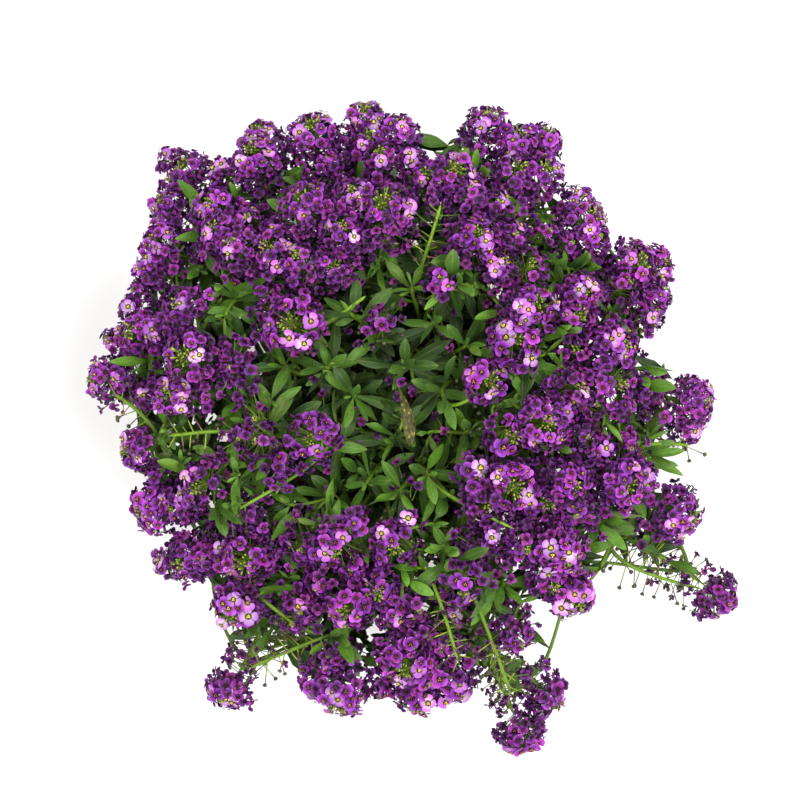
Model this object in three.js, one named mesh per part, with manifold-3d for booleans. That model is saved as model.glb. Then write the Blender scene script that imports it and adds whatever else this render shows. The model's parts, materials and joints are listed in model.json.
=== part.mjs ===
import * as THREE from "three";
import { ConvexHull } from "three/addons/math/ConvexHull.js";
import { mergeVertices } from "three/addons/utils/BufferGeometryUtils.js";
import Module from "manifold-3d";

// Potted sweet alyssum: a round nursery pot, its root ball, a woody crown, green sprays and
// bunches of violet flower heads. Lengths are in millimetres, the origin is the middle of the
// pot's foot, +Z is up and +Y is the far side of the plan.

// Pot
const POT_HEIGHT = 90;
const POT_FOOT_RADIUS = 38;
const POT_TOP_RADIUS = 50.5;
const POT_WALL = 1.6;
const POT_FLOOR = 2.2;
const POT_SIDES = 24;
const RIM_OUT = 2;
const RIM_HEIGHT = 9;
const RIM_CHAMFER = 0.8;
const DRAIN_HOLES = 6;
const DRAIN_RADIUS = 4;
const DRAIN_REACH = 25;
const DRAIN_SIDES = 6;

// Root ball and crown
const CLEARANCE = 0.3;
const SOIL_TOP = 80;
const SOIL_CROWN = 3;
const SOIL_EDGE_WIDTH = 2.5;
const SOIL_EDGE_DROP = 1.5;
const CROWN_RADIUS = 4.6;
const CROWN_DEPTH = 18;
const CROWN_TOP = 92;
const CROWN_SIDES = 7;
const CROWN_WAIST = 0.92;
const CROWN_SHOULDER = 1.25;
const BRANCH_START = 15;
const BRANCH_LEVEL = 88;
const BRANCH_STAGGER = 1.5;
const LIMB_THICKENING = 1.2;

// Plan grid on which flower heads and leafy shoots are set out: one step is 0.36 mm, the
// grid's middle lies on the pot's axis, and the plan is seen from an eye point high above.
const PLAN_STEP = 0.36;
const PLAN_MIDDLE = 400;
const PLAN_LEVEL = 120;
const EYE_HEIGHT = 1000;

// Mound: height of the upper flower heads over the plan, falling away towards the edge
const MOUND_TOP = 148;
const MOUND_FLAT_RADIUS = 42;
const MOUND_FALL = 56;
const MOUND_FALL_RADIUS = 72;
const LOWEST_HEAD = 84;
const EDGE_RADIUS = 115;
const FAR_APART = 40;
const HEAD_GAP = 0.6;
const HEAD_TOUCH = 0.72;
const TINY_TOUCH = 0.6;
const HEAD_SCALE = 1.13;
const SETTLE_ROUNDS = 160;

// Flower heads
const BIG_HEAD = 10;
const BIG_FLORETS = 6;
const SMALL_FLORETS = 4;
const TINY_HEAD = 7.2;
const TINY_FLORETS = 3;
const HEAD_FLATNESS = 0.84;
const FLORET_DISH = 0.9;
const GROOVE_DEPTH = 0.78;
const HEAD_UNDERSIDE = 0.55;
const FLORET_SPREAD = 1.37;
const PETALS = 4;
const PETAL_REACH = 1.17;
const PETAL_TWIST = 0.7;
const GROOVE_LOWEST = -0.75;
const GOLDEN_ANGLE = Math.PI * (3 - Math.sqrt(5));

// How heads face: upright in the middle, leaning out by a share of the way to the mound's edge
const HEAD_TILT = 0.2;
const HEAD_EDGE_TILT = 0.8;
const HEAD_LEAST_TILT = 0.05;
const HEAD_SWING = 0.5;
const HEAD_LEAN = 0.4;

// Stems, leaves and the thin stalks left by faded florets
const SPRAYS = 12;
const STEM_RADIUS = 1.3;
const STEM_SIDES = 4;
const STEM_STEPS = 5;
const STALK_RADIUS = 0.85;
const STALK_SIDES = 3;
const LEAF_THICKNESS = 0.8;
const LEAF_LENGTH = 18;
const LEAF_WIDTH = 4.8;
const PEDICEL_LENGTH = 8.5;
const PEDICEL_RADIUS = 0.35;
const KNOB_RADIUS = 1.1;
const PIECE_GAP = 0.7;
const STALKED_HEAD = 8.3;
const TIGHT_ROOM = 0.4;
const STEM_RUN = 24;
const STEM_RISES = [20, 14, 26, 8];
const STEM_SWINGS = [0, 6, -6, 12, -12];
const STEM_DIPS = [0, -8, 8];
const STALK_SHIFTS = [0, -9, 9, -18, 16];
const STALK_SWAYS = [0, 5, -5, 10, -10, 15, -15];
const STALK_ARRIVALS = [[12, 0], [12, -6], [7, 0], [16, 6], [7, -10], [18, -4]];
const STALK_ONWARD = 5;
const STALK_UPWARD = 6;
const STALK_FIRST_SWAY = 0.6;
const STALK_BACK = 24;
const SHOOT_BACK = 14;
const FOOT_STEPS = 60;
const FOOT_NEAREST = 18;
const FIRST_FOOT = 4;
const LAST_FOOT = 53;
const FOOT_GAP = 0.03;
const STALK_STEP = 14;
const CURVE_SAMPLES = 16;
const CURVE_ROOTED = 6;
const WALK_SAMPLES = 90;
const PEDICEL_SPACING = 2.9;
const PEDICEL_GAP = 0.3;
const PEDICEL_LIFT = 0.35;
const KNOB_LENGTH = 1.2;
const LEAF_TRIES = 6;
const LEAF_RETURN = 1.05;
const LEAF_WIDEST = 0.52;
const LEAF_ARCH = 0.6;
const LEAF_DROOP = 0.16;
const LEAF_KEEL_SHARE = 0.6;
const STEM_LEAF_LIFT = 0.5;
const STEM_LEAF_SIZES = { least: 0.72, range: 0.3, leastWidth: 0.8, widthRange: 0.3 };
const ROOT_SUNK = 0.35;
const SHOOT_LEAVES = 5;
const SHOOT_LEAN = 0.35;
const ROSETTE_FIRST = 0.72;
const ROSETTE_RANGE = 0.26;
const ROSETTE_LIFT = 0.15;
const ROSETTE_LIFT_RANGE = 0.85;
const ROSETTE_LENGTH = 1.05;
const ROSETTE_SHORTENING = 0.35;
const ROSETTE_WIDTH = 1.02;
const ROSETTE_NARROWING = 0.25;
const STEM_LEAF_PLACES = [0.35, 0.6];
const STALK_LEAF_PLACES = [0.45];

// Levels that stems and leaves keep above: the soil, the pot's rim and the air beside the pot
const SOIL_ZONE = 47;
const SOIL_LEVEL = 84.5;
const RIM_ZONE = 58;
const RIM_LEVEL = 91.5;
const HANG_LEVEL = 66;

// Flower heads, one bunch to a row. Each head is [plan x, plan y, radius in plan steps,
// millimetres below the mound's surface, pedicels left bare on its stalk].
const BUNCHES = [
  [[262, 168, 26, 0, 0], [262, 132, 20, 4, 0]],
  [[314, 147, 25, 0, 0], [310, 120, 15, 8, 0]],
  [[298, 216, 26, 0, 0], [332, 212, 17, 3, 0], [345, 236, 22, 2, 0], [353, 196, 19, 0, 0],
    [385, 213, 27, 0, 0]],
  [[166, 203, 19, 0, 0], [172, 166, 17, 2, 0], [203, 164, 20, 8, 0], [158, 231, 16, 4, 0],
    [175, 262, 23, 0, 0], [142, 282, 17, 2, 0]],
  [[214, 206, 20, 0, 0], [214, 232, 20, 1, 0], [239, 255, 21, 0, 0],
    [278, 242, 22, 6, 0], [308, 264, 20, 7, 0]],
  [[188, 300, 21, 0, 0], [182, 325, 14, 3, 0], [158, 342, 17, 6, 0], [140, 325, 21, 0, 0],
    [114, 342, 13, 3, 0]],
  [[366, 115, 20, 0, 0], [362, 150, 20, 10, 0], [388, 163, 18, 2, 0],
    [405, 130, 18, 0, 0]],
  [[428, 180, 19, 3, 0], [450, 172, 22, 0, 4], [470, 199, 17, 3, 0]],
  [[478, 122, 22, 0, 3], [520, 145, 22, 0, 0], [515, 182, 22, 8, 0], [548, 141, 19, 0, 0],
    [549, 178, 20, 1, 0]],
  [[582, 220, 21, 0, 0], [572, 194, 16, 2, 0], [606, 254, 16, 0, 0]],
  [[475, 240, 24, 0, 0], [497, 270, 19, 3, 0], [533, 271, 18, 5, 0]],
  [[530, 304, 25, 0, 0], [508, 338, 23, 0, 0], [527, 364, 13, 5, 0]],
  [[583, 293, 20, 0, 0], [578, 318, 18, 3, 0]],
  [[622, 262, 25, 0, 0], [655, 258, 21, 0, 0], [620, 288, 19, 5, 0], [658, 297, 18, 1, 0],
    [645, 322, 16, 3, 0]],
  [[615, 340, 23, 0, 0], [603, 378, 26, 0, 0], [572, 387, 19, 5, 0], [590, 407, 17, 5, 0],
    [627, 415, 15, 3, 0]],
  [[488, 378, 20, 3, 0]],
  [[546, 423, 26, 0, 0], [505, 441, 21, 3, 0]],
  [[690, 397, 25, 0, 4], [690, 433, 14, 2, 0]],
  [[618, 483, 25, 0, 0], [642, 478, 17, 1, 0]],
  [[567, 479, 23, 0, 0], [535, 502, 19, 8, 0]],
  [[520, 475, 24, 0, 0], [482, 504, 20, 8, 0], [474, 470, 19, 5, 0]],
  [[675, 512, 27, 0, 0]],
  [[560, 548, 26, 0, 0], [522, 546, 19, 6, 0],
    [545, 580, 19, 4, 0], [573, 596, 23, 0, 0]],
  [[715, 595, 25, 0, 9]],
  [[462, 583, 19, 0, 0]],
  [[393, 547, 23, 0, 0], [410, 521, 12, 3, 0]],
  [[348, 604, 23, 0, 0], [380, 587, 19, 4, 0]],
  [[337, 546, 23, 0, 0], [352, 525, 13, 3, 0]],
  [[308, 600, 17, 4, 0], [290, 622, 15, 6, 0]],
  [[388, 657, 26, 0, 0], [415, 638, 15, 3, 0], [438, 668, 19, 4, 0],
    [415, 700, 23, 2, 0], [466, 688, 19, 0, 5]],
  [[345, 692, 26, 0, 0], [312, 683, 15, 4, 0]],
  [[517, 635, 16, 0, 3]],
  [[550, 690, 21, 0, 0], [533, 712, 13, 4, 0], [517, 735, 26, 0, 6]],
  [[230, 688, 23, 0, 6]],
  [[238, 605, 24, 0, 0]],
  [[268, 560, 25, 0, 0], [228, 556, 17, 4, 0], [198, 543, 15, 6, 0], [176, 565, 23, 0, 0]],
  [[145, 508, 23, 0, 0], [180, 515, 19, 6, 0], [193, 495, 15, 6, 0], [215, 475, 23, 0, 0]],
  [[138, 450, 20, 0, 0]],
  [[100, 380, 21, 0, 4], [128, 378, 16, 5, 0]],
  [[193, 356, 27, 0, 0], [175, 395, 21, 0, 0]],
  [[298, 328, 27, 0, 0], [268, 308, 13, 3, 0]],
  [[313, 437, 24, 0, 0]],
  [[262, 445, 17, 3, 0], [258, 414, 14, 4, 0], [240, 437, 10, 4, 0]],
  [[378, 320, 10, 8, 0]],
  [[442, 280, 11, 3, 0]],
];

// Leafy shoots, each [plan x, plan y, millimetres below the mound's surface]
const SHOOTS = [
  [412, 286, 12], [350, 312, 10], [325, 366, 12], [352, 396, 16], [404, 366, 12], [468, 344, 12],
  [366, 484, 12], [446, 398, 10], [428, 476, 16], [396, 438, 20], [432, 320, 14], [282, 366, 16],
  [470, 430, 16], [330, 500, 18], [400, 494, 14], [378, 262, 16], [236, 298, 16], [300, 184, 14],
  [505, 584, 8], [650, 455, 8], [236, 400, 18], [545, 385, 20], [560, 270, 18], [640, 370, 10],
  [170, 470, 14], [285, 585, 14], [330, 640, 14], [600, 520, 12], [520, 215, 16],
];

const wasm = await Module();
wasm.setup();

// Seeded draws between 0 and 1
function drawsFrom(seed) {
  let state = seed >>> 0;
  return () => {
    state = (state + 0x6d2b79f5) >>> 0;
    let mixed = state;
    mixed = Math.imul(mixed ^ (mixed >>> 15), mixed | 1);
    mixed ^= mixed + Math.imul(mixed ^ (mixed >>> 7), mixed | 61);
    return ((mixed ^ (mixed >>> 14)) >>> 0) / 4294967296;
  };
}

const UP = new THREE.Vector3(0, 0, 1);

function vector(x, y, z) {
  return new THREE.Vector3(x, y, z);
}

function planRadius(point) {
  return Math.hypot(point.x, point.y);
}

function outwardOf(point) {
  const reach = planRadius(point);
  return vector(point.x / reach, point.y / reach, 0);
}

// Two unit vectors square to a direction
function crossAxes(direction) {
  const helper = Math.abs(direction.z) < 0.9 ? UP : vector(1, 0, 0);
  const side = vector(0, 0, 0).crossVectors(direction, helper).normalize();
  const other = vector(0, 0, 0).crossVectors(direction, side);
  return [side, other];
}

function moundHeight(reach) {
  const past = Math.max(0, reach - MOUND_FLAT_RADIUS) / MOUND_FALL_RADIUS;
  return Math.max(LOWEST_HEAD, MOUND_TOP - MOUND_FALL * past * past);
}

// A plan position with its depth under the mound's surface, as a point in space
function fromPlan(planX, planY, below) {
  let x = (planX - PLAN_MIDDLE) * PLAN_STEP;
  let y = (PLAN_MIDDLE - planY) * PLAN_STEP;
  const z = moundHeight(Math.hypot(x, y)) - below;
  const scale = (EYE_HEIGHT - z) / (EYE_HEIGHT - PLAN_LEVEL);
  x *= scale;
  y *= scale;
  return vector(x, y, z);
}

// Flower heads of separate bunches are eased apart and those of one bunch are drawn together
function settle(heads) {
  const apart = vector(0, 0, 0);
  for (let round = 0; round < SETTLE_ROUNDS; round += 1) {
    for (let i = 0; i < heads.length; i += 1) {
      for (let j = i + 1; j < heads.length; j += 1) {
        const first = heads[i];
        const second = heads[j];
        apart.subVectors(second.centre, first.centre);
        const distance = apart.length();
        if (distance > FAR_APART) {
          continue;
        }
        apart.divideScalar(distance);
        const reach = widthAlong(first, apart) + widthAlong(second, apart);
        let push = 0;
        if (first.bunch !== second.bunch && distance < reach + HEAD_GAP) {
          push = (reach + HEAD_GAP - distance) / 2 + 0.01;
        }
        const touch = Math.min(first.radius, second.radius) < TINY_HEAD ? TINY_TOUCH : HEAD_TOUCH;
        if (second.parent === i && distance > reach * touch) {
          push = (reach * touch - distance) / 2;
        }
        if (push !== 0) {
          second.centre.addScaledVector(apart, push);
          first.centre.addScaledVector(apart, -push);
        }
      }
    }
  }
}

function nearestBefore(heads, start, row) {
  let best = -1;
  let bestGap = Infinity;
  for (let i = start; i < heads.length; i += 1) {
    const gap = heads[i].centre.distanceTo(row.centre) - heads[i].radius;
    if (gap < bestGap) {
      bestGap = gap;
      best = i;
    }
  }
  return best;
}

// Direction that a head faces: upright in the middle of the mound, leaning out at its edge
function headAxis(centre, swing, lean) {
  const edgeTilt = HEAD_EDGE_TILT * (planRadius(centre) / EDGE_RADIUS) ** 2;
  const tilt = Math.max(HEAD_LEAST_TILT, HEAD_TILT + edgeTilt + lean);
  const azimuth = Math.atan2(centre.y, centre.x) + swing;
  return vector(Math.sin(tilt) * Math.cos(azimuth), Math.sin(tilt) * Math.sin(azimuth), Math.cos(tilt));
}

// Half the width of a flattened head along a direction
function widthAlong(head, direction) {
  const along = direction.dot(head.axis);
  const across = 1 - along * along;
  return head.radius * Math.sqrt(Math.max(0, across) + (HEAD_FLATNESS * along) ** 2);
}

function placeHeads() {
  const heads = [];
  const draw = drawsFrom(11);
  BUNCHES.forEach((rows, bunch) => {
    const start = heads.length;
    for (const [planX, planY, steps, below, spent] of rows) {
      const centre = fromPlan(planX, planY, below);
      const head = { centre, radius: steps * PLAN_STEP * HEAD_SCALE, spent, bunch };
      head.parent = nearestBefore(heads, start, head);
      const swing = (draw() - 0.5) * HEAD_SWING;
      const lean = (draw() - 0.5) * HEAD_LEAN;
      head.axis = headAxis(head.centre, swing, lean);
      head.turn = draw() * 2 * Math.PI;
      heads.push(head);
    }
  });
  settle(heads);
  for (const head of heads) {
    head.base = head.centre.clone().addScaledVector(
      head.axis,
      -(HEAD_UNDERSIDE * HEAD_FLATNESS * head.radius + CLEARANCE),
    );
  }
  return heads;
}

// Samples along a curve, with the last one at its end
function samplesOf(curve, count) {
  const points = [];
  for (let i = 0; i <= count; i += 1) {
    points.push(curve.getPoint(i / count));
  }
  return points;
}

// How far a run of balls stays from every flower head, from the pot and soil, and from the
// crowd of balls already placed. The first few balls, next to their own root, may touch the
// same spray, and no ball is measured against the piece that bears it.
function clearanceOf(run, heads, crowd) {
  let least = Infinity;
  run.points.forEach((point, i) => {
    const radius = run.radii[i];
    const reach = planRadius(point);
    if (reach < RIM_ZONE) {
      least = Math.min(least, point.z - radius - (reach < SOIL_ZONE ? SOIL_LEVEL : RIM_LEVEL));
    }
    least = Math.min(least, point.z - radius - HANG_LEVEL);
    for (const head of heads) {
      if (head !== run.head) {
        least = Math.min(least, point.distanceTo(head.centre) - radius - head.radius);
      }
    }
    for (const ball of crowd) {
      if (ball.owner !== run.owner || (i >= run.rooted && ball.piece !== run.bearer)) {
        least = Math.min(least, point.distanceTo(ball.point) - radius - ball.radius);
      }
    }
  });
  return least;
}

function fillCrowd(crowd, run, piece) {
  run.points.forEach((point, i) => {
    crowd.push({ point, radius: run.radii[i], owner: run.owner, piece });
  });
}

// The clearest of several curves: the first with room all round it, or the one with most room
function clearestCurve(options, radius, owner, heads, crowd, head) {
  let best = null;
  for (const curve of options) {
    const points = samplesOf(curve, CURVE_SAMPLES);
    const radii = points.map(() => radius);
    const run = { points, radii, owner, head, rooted: CURVE_ROOTED, bearer: null };
    const room = clearanceOf(run, heads, crowd);
    if (!best || room > best.room) {
      best = { curve, run, room };
    }
    if (room >= PIECE_GAP) {
      break;
    }
  }
  return best;
}

function sprayAzimuth(index) {
  return ((index + 0.5) * 2 * Math.PI) / SPRAYS;
}

function nearestSpray(point) {
  const turn = (Math.atan2(point.y, point.x) + 2 * Math.PI) % (2 * Math.PI);
  return Math.min(SPRAYS - 1, Math.floor((turn / (2 * Math.PI)) * SPRAYS));
}

function branchStart(index) {
  const azimuth = sprayAzimuth(index);
  const level = BRANCH_LEVEL + (index % 2 === 0 ? -BRANCH_STAGGER : BRANCH_STAGGER);
  return vector(BRANCH_START * Math.cos(azimuth), BRANCH_START * Math.sin(azimuth), level);
}

// Main stem of a spray: out of the crown, over the pot's rim and up to its furthest head
function growStem(index, target, heads, crowd) {
  const start = branchStart(index);
  const out = outwardOf(start);
  const side = vector(-out.y, out.x, 0);
  const options = [];
  for (const rise of STEM_RISES) {
    for (const swing of STEM_SWINGS) {
      for (const dip of STEM_DIPS) {
        options.push(new THREE.CubicBezierCurve3(
          start,
          start.clone().addScaledVector(out, STEM_RUN).addScaledVector(UP, rise),
          target.base.clone().addScaledVector(target.axis, -STEM_RUN).addScaledVector(side, swing)
            .addScaledVector(UP, dip),
          target.base,
        ));
      }
    }
  }
  const stem = clearestCurve(options, STEM_RADIUS, index, heads, crowd, target);
  fillCrowd(crowd, stem.run, stem.curve);
  return stem;
}

// The free place on a stem that lies nearest to a given reach from the pot's axis
function stemPlace(stem, used, reach) {
  let best = null;
  let bestGap = Infinity;
  for (let step = FIRST_FOOT; step <= LAST_FOOT; step += 1) {
    const place = step / FOOT_STEPS;
    const gap = Math.abs(planRadius(stem.getPoint(place)) - reach);
    if (gap < bestGap && !used.some((other) => Math.abs(other - place) < FOOT_GAP)) {
      bestGap = gap;
      best = place;
    }
  }
  return best;
}

// Side stalk from a spray's stem to an end point that it meets along a direction, or nothing
// where other pieces leave it no room
function growStalk(spray, end, along, back, heads, crowd, head) {
  const reach = planRadius(end);
  const stem = spray.stem.curve;
  const options = [];
  for (const shift of STALK_SHIFTS) {
    const place = stemPlace(stem, spray.used, Math.max(FOOT_NEAREST, reach - back + shift));
    const foot = stem.getPoint(place);
    const tangent = stem.getTangent(place);
    const side = vector(-tangent.y, tangent.x, 0).normalize();
    for (const sway of STALK_SWAYS) {
      for (const [run, dip] of STALK_ARRIVALS) {
        const curve = new THREE.CubicBezierCurve3(
          foot,
          foot.clone().addScaledVector(tangent, STALK_ONWARD).addScaledVector(UP, STALK_UPWARD)
            .addScaledVector(side, sway * STALK_FIRST_SWAY),
          end.clone().addScaledVector(along, -run).addScaledVector(side, sway).addScaledVector(UP, dip),
          end,
        );
        curve.place = place;
        options.push(curve);
      }
    }
  }
  const grown = clearestCurve(options, STALK_RADIUS, spray.index, heads, crowd, head);
  if (grown.room < TIGHT_ROOM) {
    return null;
  }
  fillCrowd(crowd, grown.run, grown.curve);
  spray.used.push(grown.curve.place);
  return grown;
}

// A leaf on its bearing stem, kept if one of a few turns about the stem leaves it clear
function growLeaf(spray, bearer, place, turn, lift, length, width, heads, crowd) {
  const root = bearer.getPoint(place);
  const stemAlong = bearer.getTangent(place);
  const [side, other] = crossAxes(stemAlong);
  for (let attempt = 0; attempt < LEAF_TRIES; attempt += 1) {
    const angle = turn + attempt * LEAF_RETURN;
    const out = side.clone().multiplyScalar(Math.cos(angle)).addScaledVector(other, Math.sin(angle));
    const along = out.multiplyScalar(Math.cos(lift)).addScaledVector(stemAlong, Math.sin(lift)).normalize();
    const middle = root.clone().addScaledVector(along, length * LEAF_WIDEST).addScaledVector(UP, LEAF_ARCH);
    const tip = root.clone().addScaledVector(along, length).addScaledVector(UP, -LEAF_DROOP * length);
    const run = {
      points: [root.clone().lerp(middle, 0.6), middle, middle.clone().lerp(tip, 0.5), tip],
      radii: [width * 0.3, width * 0.5, width * 0.35, 0.4],
      owner: spray.index,
      rooted: 1,
      bearer,
    };
    if (clearanceOf(run, heads, crowd) >= PIECE_GAP) {
      fillCrowd(crowd, run, root);
      return { root, middle, tip, width, bearer };
    }
  }
  return null;
}

function leavesAlong(spray, curve, places, draw, heads, crowd) {
  let turn = draw() * 2 * Math.PI;
  for (const place of places) {
    turn += GOLDEN_ANGLE;
    const length = LEAF_LENGTH * (STEM_LEAF_SIZES.least + STEM_LEAF_SIZES.range * draw());
    const width = LEAF_WIDTH * (STEM_LEAF_SIZES.leastWidth + STEM_LEAF_SIZES.widthRange * draw());
    const leaf = growLeaf(spray, curve, place, turn, STEM_LEAF_LIFT, length, width, heads, crowd);
    if (leaf) {
      spray.leaves.push(leaf);
    }
  }
}

// Leaves round the tip of a shoot, the lowest almost level and the top ones nearly upright
function rosette(spray, curve, draw, heads, crowd) {
  let turn = draw() * 2 * Math.PI;
  for (let i = 0; i < SHOOT_LEAVES; i += 1) {
    turn += GOLDEN_ANGLE;
    const along = i / (SHOOT_LEAVES - 1);
    const place = ROSETTE_FIRST + ROSETTE_RANGE * along;
    const lift = ROSETTE_LIFT + ROSETTE_LIFT_RANGE * along;
    const length = LEAF_LENGTH * (ROSETTE_LENGTH - ROSETTE_SHORTENING * along) * (0.9 + 0.2 * draw());
    const width = LEAF_WIDTH * (ROSETTE_WIDTH - ROSETTE_NARROWING * along);
    const leaf = growLeaf(spray, curve, place, turn, lift, length, width, heads, crowd);
    if (leaf) {
      spray.leaves.push(leaf);
    }
  }
}

// Bare pedicels with their faded knobs on the stretch of stalk behind a flower head
function sparePedicels(spray, curve, head, draw, heads, crowd) {
  let turn = draw() * 2 * Math.PI;
  let walked = 0;
  let next = head.radius * 0.9;
  let left = head.spent;
  for (let i = WALK_SAMPLES; i > 0 && left > 0; i -= 1) {
    const here = curve.getPoint(i / WALK_SAMPLES);
    walked += here.distanceTo(curve.getPoint((i - 1) / WALK_SAMPLES));
    if (walked < next) {
      continue;
    }
    next += PEDICEL_SPACING;
    left -= 1;
    turn += GOLDEN_ANGLE;
    const along = curve.getTangent(i / WALK_SAMPLES);
    const [side, other] = crossAxes(along);
    const out = side.multiplyScalar(Math.cos(turn)).addScaledVector(other, Math.sin(turn));
    const direction = out.addScaledVector(along, PEDICEL_LIFT).normalize();
    const length = PEDICEL_LENGTH * (0.85 + 0.3 * draw());
    const tip = here.clone().addScaledVector(direction, length);
    const run = {
      points: [here.clone().lerp(tip, 0.5), tip],
      radii: [PEDICEL_RADIUS, KNOB_RADIUS],
      owner: spray.index,
      rooted: 0,
      bearer: curve,
    };
    if (clearanceOf(run, heads, crowd) >= PEDICEL_GAP) {
      fillCrowd(crowd, run, here);
      spray.pedicels.push({ root: here, tip, bearer: curve });
    }
  }
}

function isStalked(head, heads) {
  return head.parent < 0 || head.radius >= STALKED_HEAD || head.spent > 0;
}

function growSprays(heads) {
  const crowd = [];
  const sprays = [];
  for (let index = 0; index < SPRAYS; index += 1) {
    const own = heads.filter((head) => isStalked(head, heads) && nearestSpray(head.centre) === index);
    own.sort((first, second) => planRadius(second.centre) - planRadius(first.centre));
    const stem = growStem(index, own[0], heads, crowd);
    sprays.push({ index, own, stem, used: [], stalks: [], shoots: [], leaves: [], pedicels: [] });
  }
  for (const spray of sprays) {
    const rest = spray.own.slice(1);
    const leading = rest.filter((head) => head.parent < 0);
    for (const head of [...leading, ...rest.filter((other) => other.parent >= 0)]) {
      const grown = growStalk(spray, head.base, head.axis, STALK_BACK, heads, crowd, head);
      if (grown) {
        spray.stalks.push({ ...grown, head });
      }
    }
  }
  for (const [planX, planY, below] of SHOOTS) {
    const tip = fromPlan(planX, planY, below);
    const spray = sprays[nearestSpray(tip)];
    const lean = outwardOf(tip).multiplyScalar(SHOOT_LEAN).add(UP).normalize();
    const grown = growStalk(spray, tip, lean, SHOOT_BACK, heads, crowd, null);
    if (grown) {
      spray.shoots.push({ ...grown, tip });
    }
  }
  for (const spray of sprays) {
    const draw = drawsFrom(100 + spray.index);
    const bearers = [{ curve: spray.stem.curve, head: spray.own[0] }, ...spray.stalks];
    for (const { curve, head } of bearers) {
      sparePedicels(spray, curve, head, draw, heads, crowd);
    }
    for (const { curve } of spray.shoots) {
      rosette(spray, curve, draw, heads, crowd);
    }
    leavesAlong(spray, spray.stem.curve, STEM_LEAF_PLACES, draw, heads, crowd);
    for (const { curve } of spray.stalks) {
      leavesAlong(spray, curve, STALK_LEAF_PLACES, draw, heads, crowd);
    }
  }
  return sprays;
}

// Solids

function solidOf(vertices, triangles) {
  const mesh = new wasm.Mesh({
    numProp: 3,
    vertProperties: new Float32Array(vertices),
    triVerts: new Uint32Array(triangles),
  });
  return new wasm.Manifold(mesh);
}

function solidOfGeometry(geometry) {
  const bare = geometry.clone();
  bare.deleteAttribute("normal");
  bare.deleteAttribute("uv");
  const merged = mergeVertices(bare, 1e-4);
  return solidOf(merged.attributes.position.array, merged.index.array);
}

function geometryOf(solid) {
  const mesh = solid.getMesh();
  const geometry = new THREE.BufferGeometry();
  geometry.setAttribute("position", new THREE.BufferAttribute(new Float32Array(mesh.vertProperties), 3));
  geometry.setIndex(new THREE.BufferAttribute(new Uint32Array(mesh.triVerts), 1));
  geometry.computeVertexNormals();
  return geometry;
}

// Join of several solids as one body, without any loose scrap
function joined(solids) {
  let whole = solids[0];
  for (const solid of solids.slice(1)) {
    whole = whole.add(solid);
  }
  let largest = null;
  for (const part of whole.decompose()) {
    if (!largest || part.volume() > largest.volume()) {
      largest = part;
    }
  }
  return largest;
}

function closedSurface(points, triangles) {
  const vertices = [];
  for (const point of points) {
    vertices.push(point.x, point.y, point.z);
  }
  return solidOf(vertices, triangles);
}

// Two pyramids base to base: a root point sunk in the stem, a three-cornered middle and a tip
function spindle(root, middle, tip) {
  const points = [root, ...middle, tip];
  return closedSurface(points, [0, 2, 1, 0, 3, 2, 0, 1, 3, 1, 2, 4, 2, 3, 4, 3, 1, 4]);
}

// Lance-shaped leaf, folded along its keel
function leafSolid(root, { middle, tip, width }) {
  const along = tip.clone().sub(root).normalize();
  const side = vector(0, 0, 0).crossVectors(along, UP).normalize();
  const above = vector(0, 0, 0).crossVectors(side, along);
  const keel = middle.clone().addScaledVector(above, -LEAF_THICKNESS * LEAF_KEEL_SHARE);
  const edge = keel.clone().addScaledVector(above, LEAF_THICKNESS);
  const left = edge.clone().addScaledVector(side, -width / 2);
  const right = edge.addScaledVector(side, width / 2);
  const sunk = root.clone().addScaledVector(along, -ROOT_SUNK);
  return spindle(sunk, [left, right, keel], tip);
}

// Thin pedicel that swells into the knob left by a faded floret
function pedicelSolid(root, { tip }) {
  const along = tip.clone().sub(root).normalize();
  const [side, other] = crossAxes(along);
  const neck = tip.clone().addScaledVector(along, -KNOB_LENGTH);
  const knob = [];
  for (let i = 0; i < 3; i += 1) {
    const angle = (i * 2 * Math.PI) / 3;
    knob.push(neck.clone().addScaledVector(side, KNOB_RADIUS * Math.cos(angle))
      .addScaledVector(other, KNOB_RADIUS * Math.sin(angle)));
  }
  const sunk = root.clone().addScaledVector(along, -ROOT_SUNK);
  return spindle(sunk, knob, tip);
}

function polygonShape(radius, sides) {
  const shape = new THREE.Shape();
  for (let i = 0; i < sides; i += 1) {
    const angle = (i * 2 * Math.PI) / sides;
    const x = radius * Math.cos(angle);
    const y = radius * Math.sin(angle);
    if (i === 0) {
      shape.moveTo(x, y);
    } else {
      shape.lineTo(x, y);
    }
  }
  shape.closePath();
  return shape;
}

function rodSolid(curve, radius, sides, steps) {
  const geometry = new THREE.ExtrudeGeometry(polygonShape(radius, sides), {
    steps,
    bevelEnabled: false,
    extrudePath: curve,
  });
  return solidOfGeometry(geometry);
}

function floretCount(head) {
  if (head.radius >= BIG_HEAD) {
    return BIG_FLORETS;
  }
  return head.radius >= TINY_HEAD ? SMALL_FLORETS : TINY_FLORETS;
}

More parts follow.
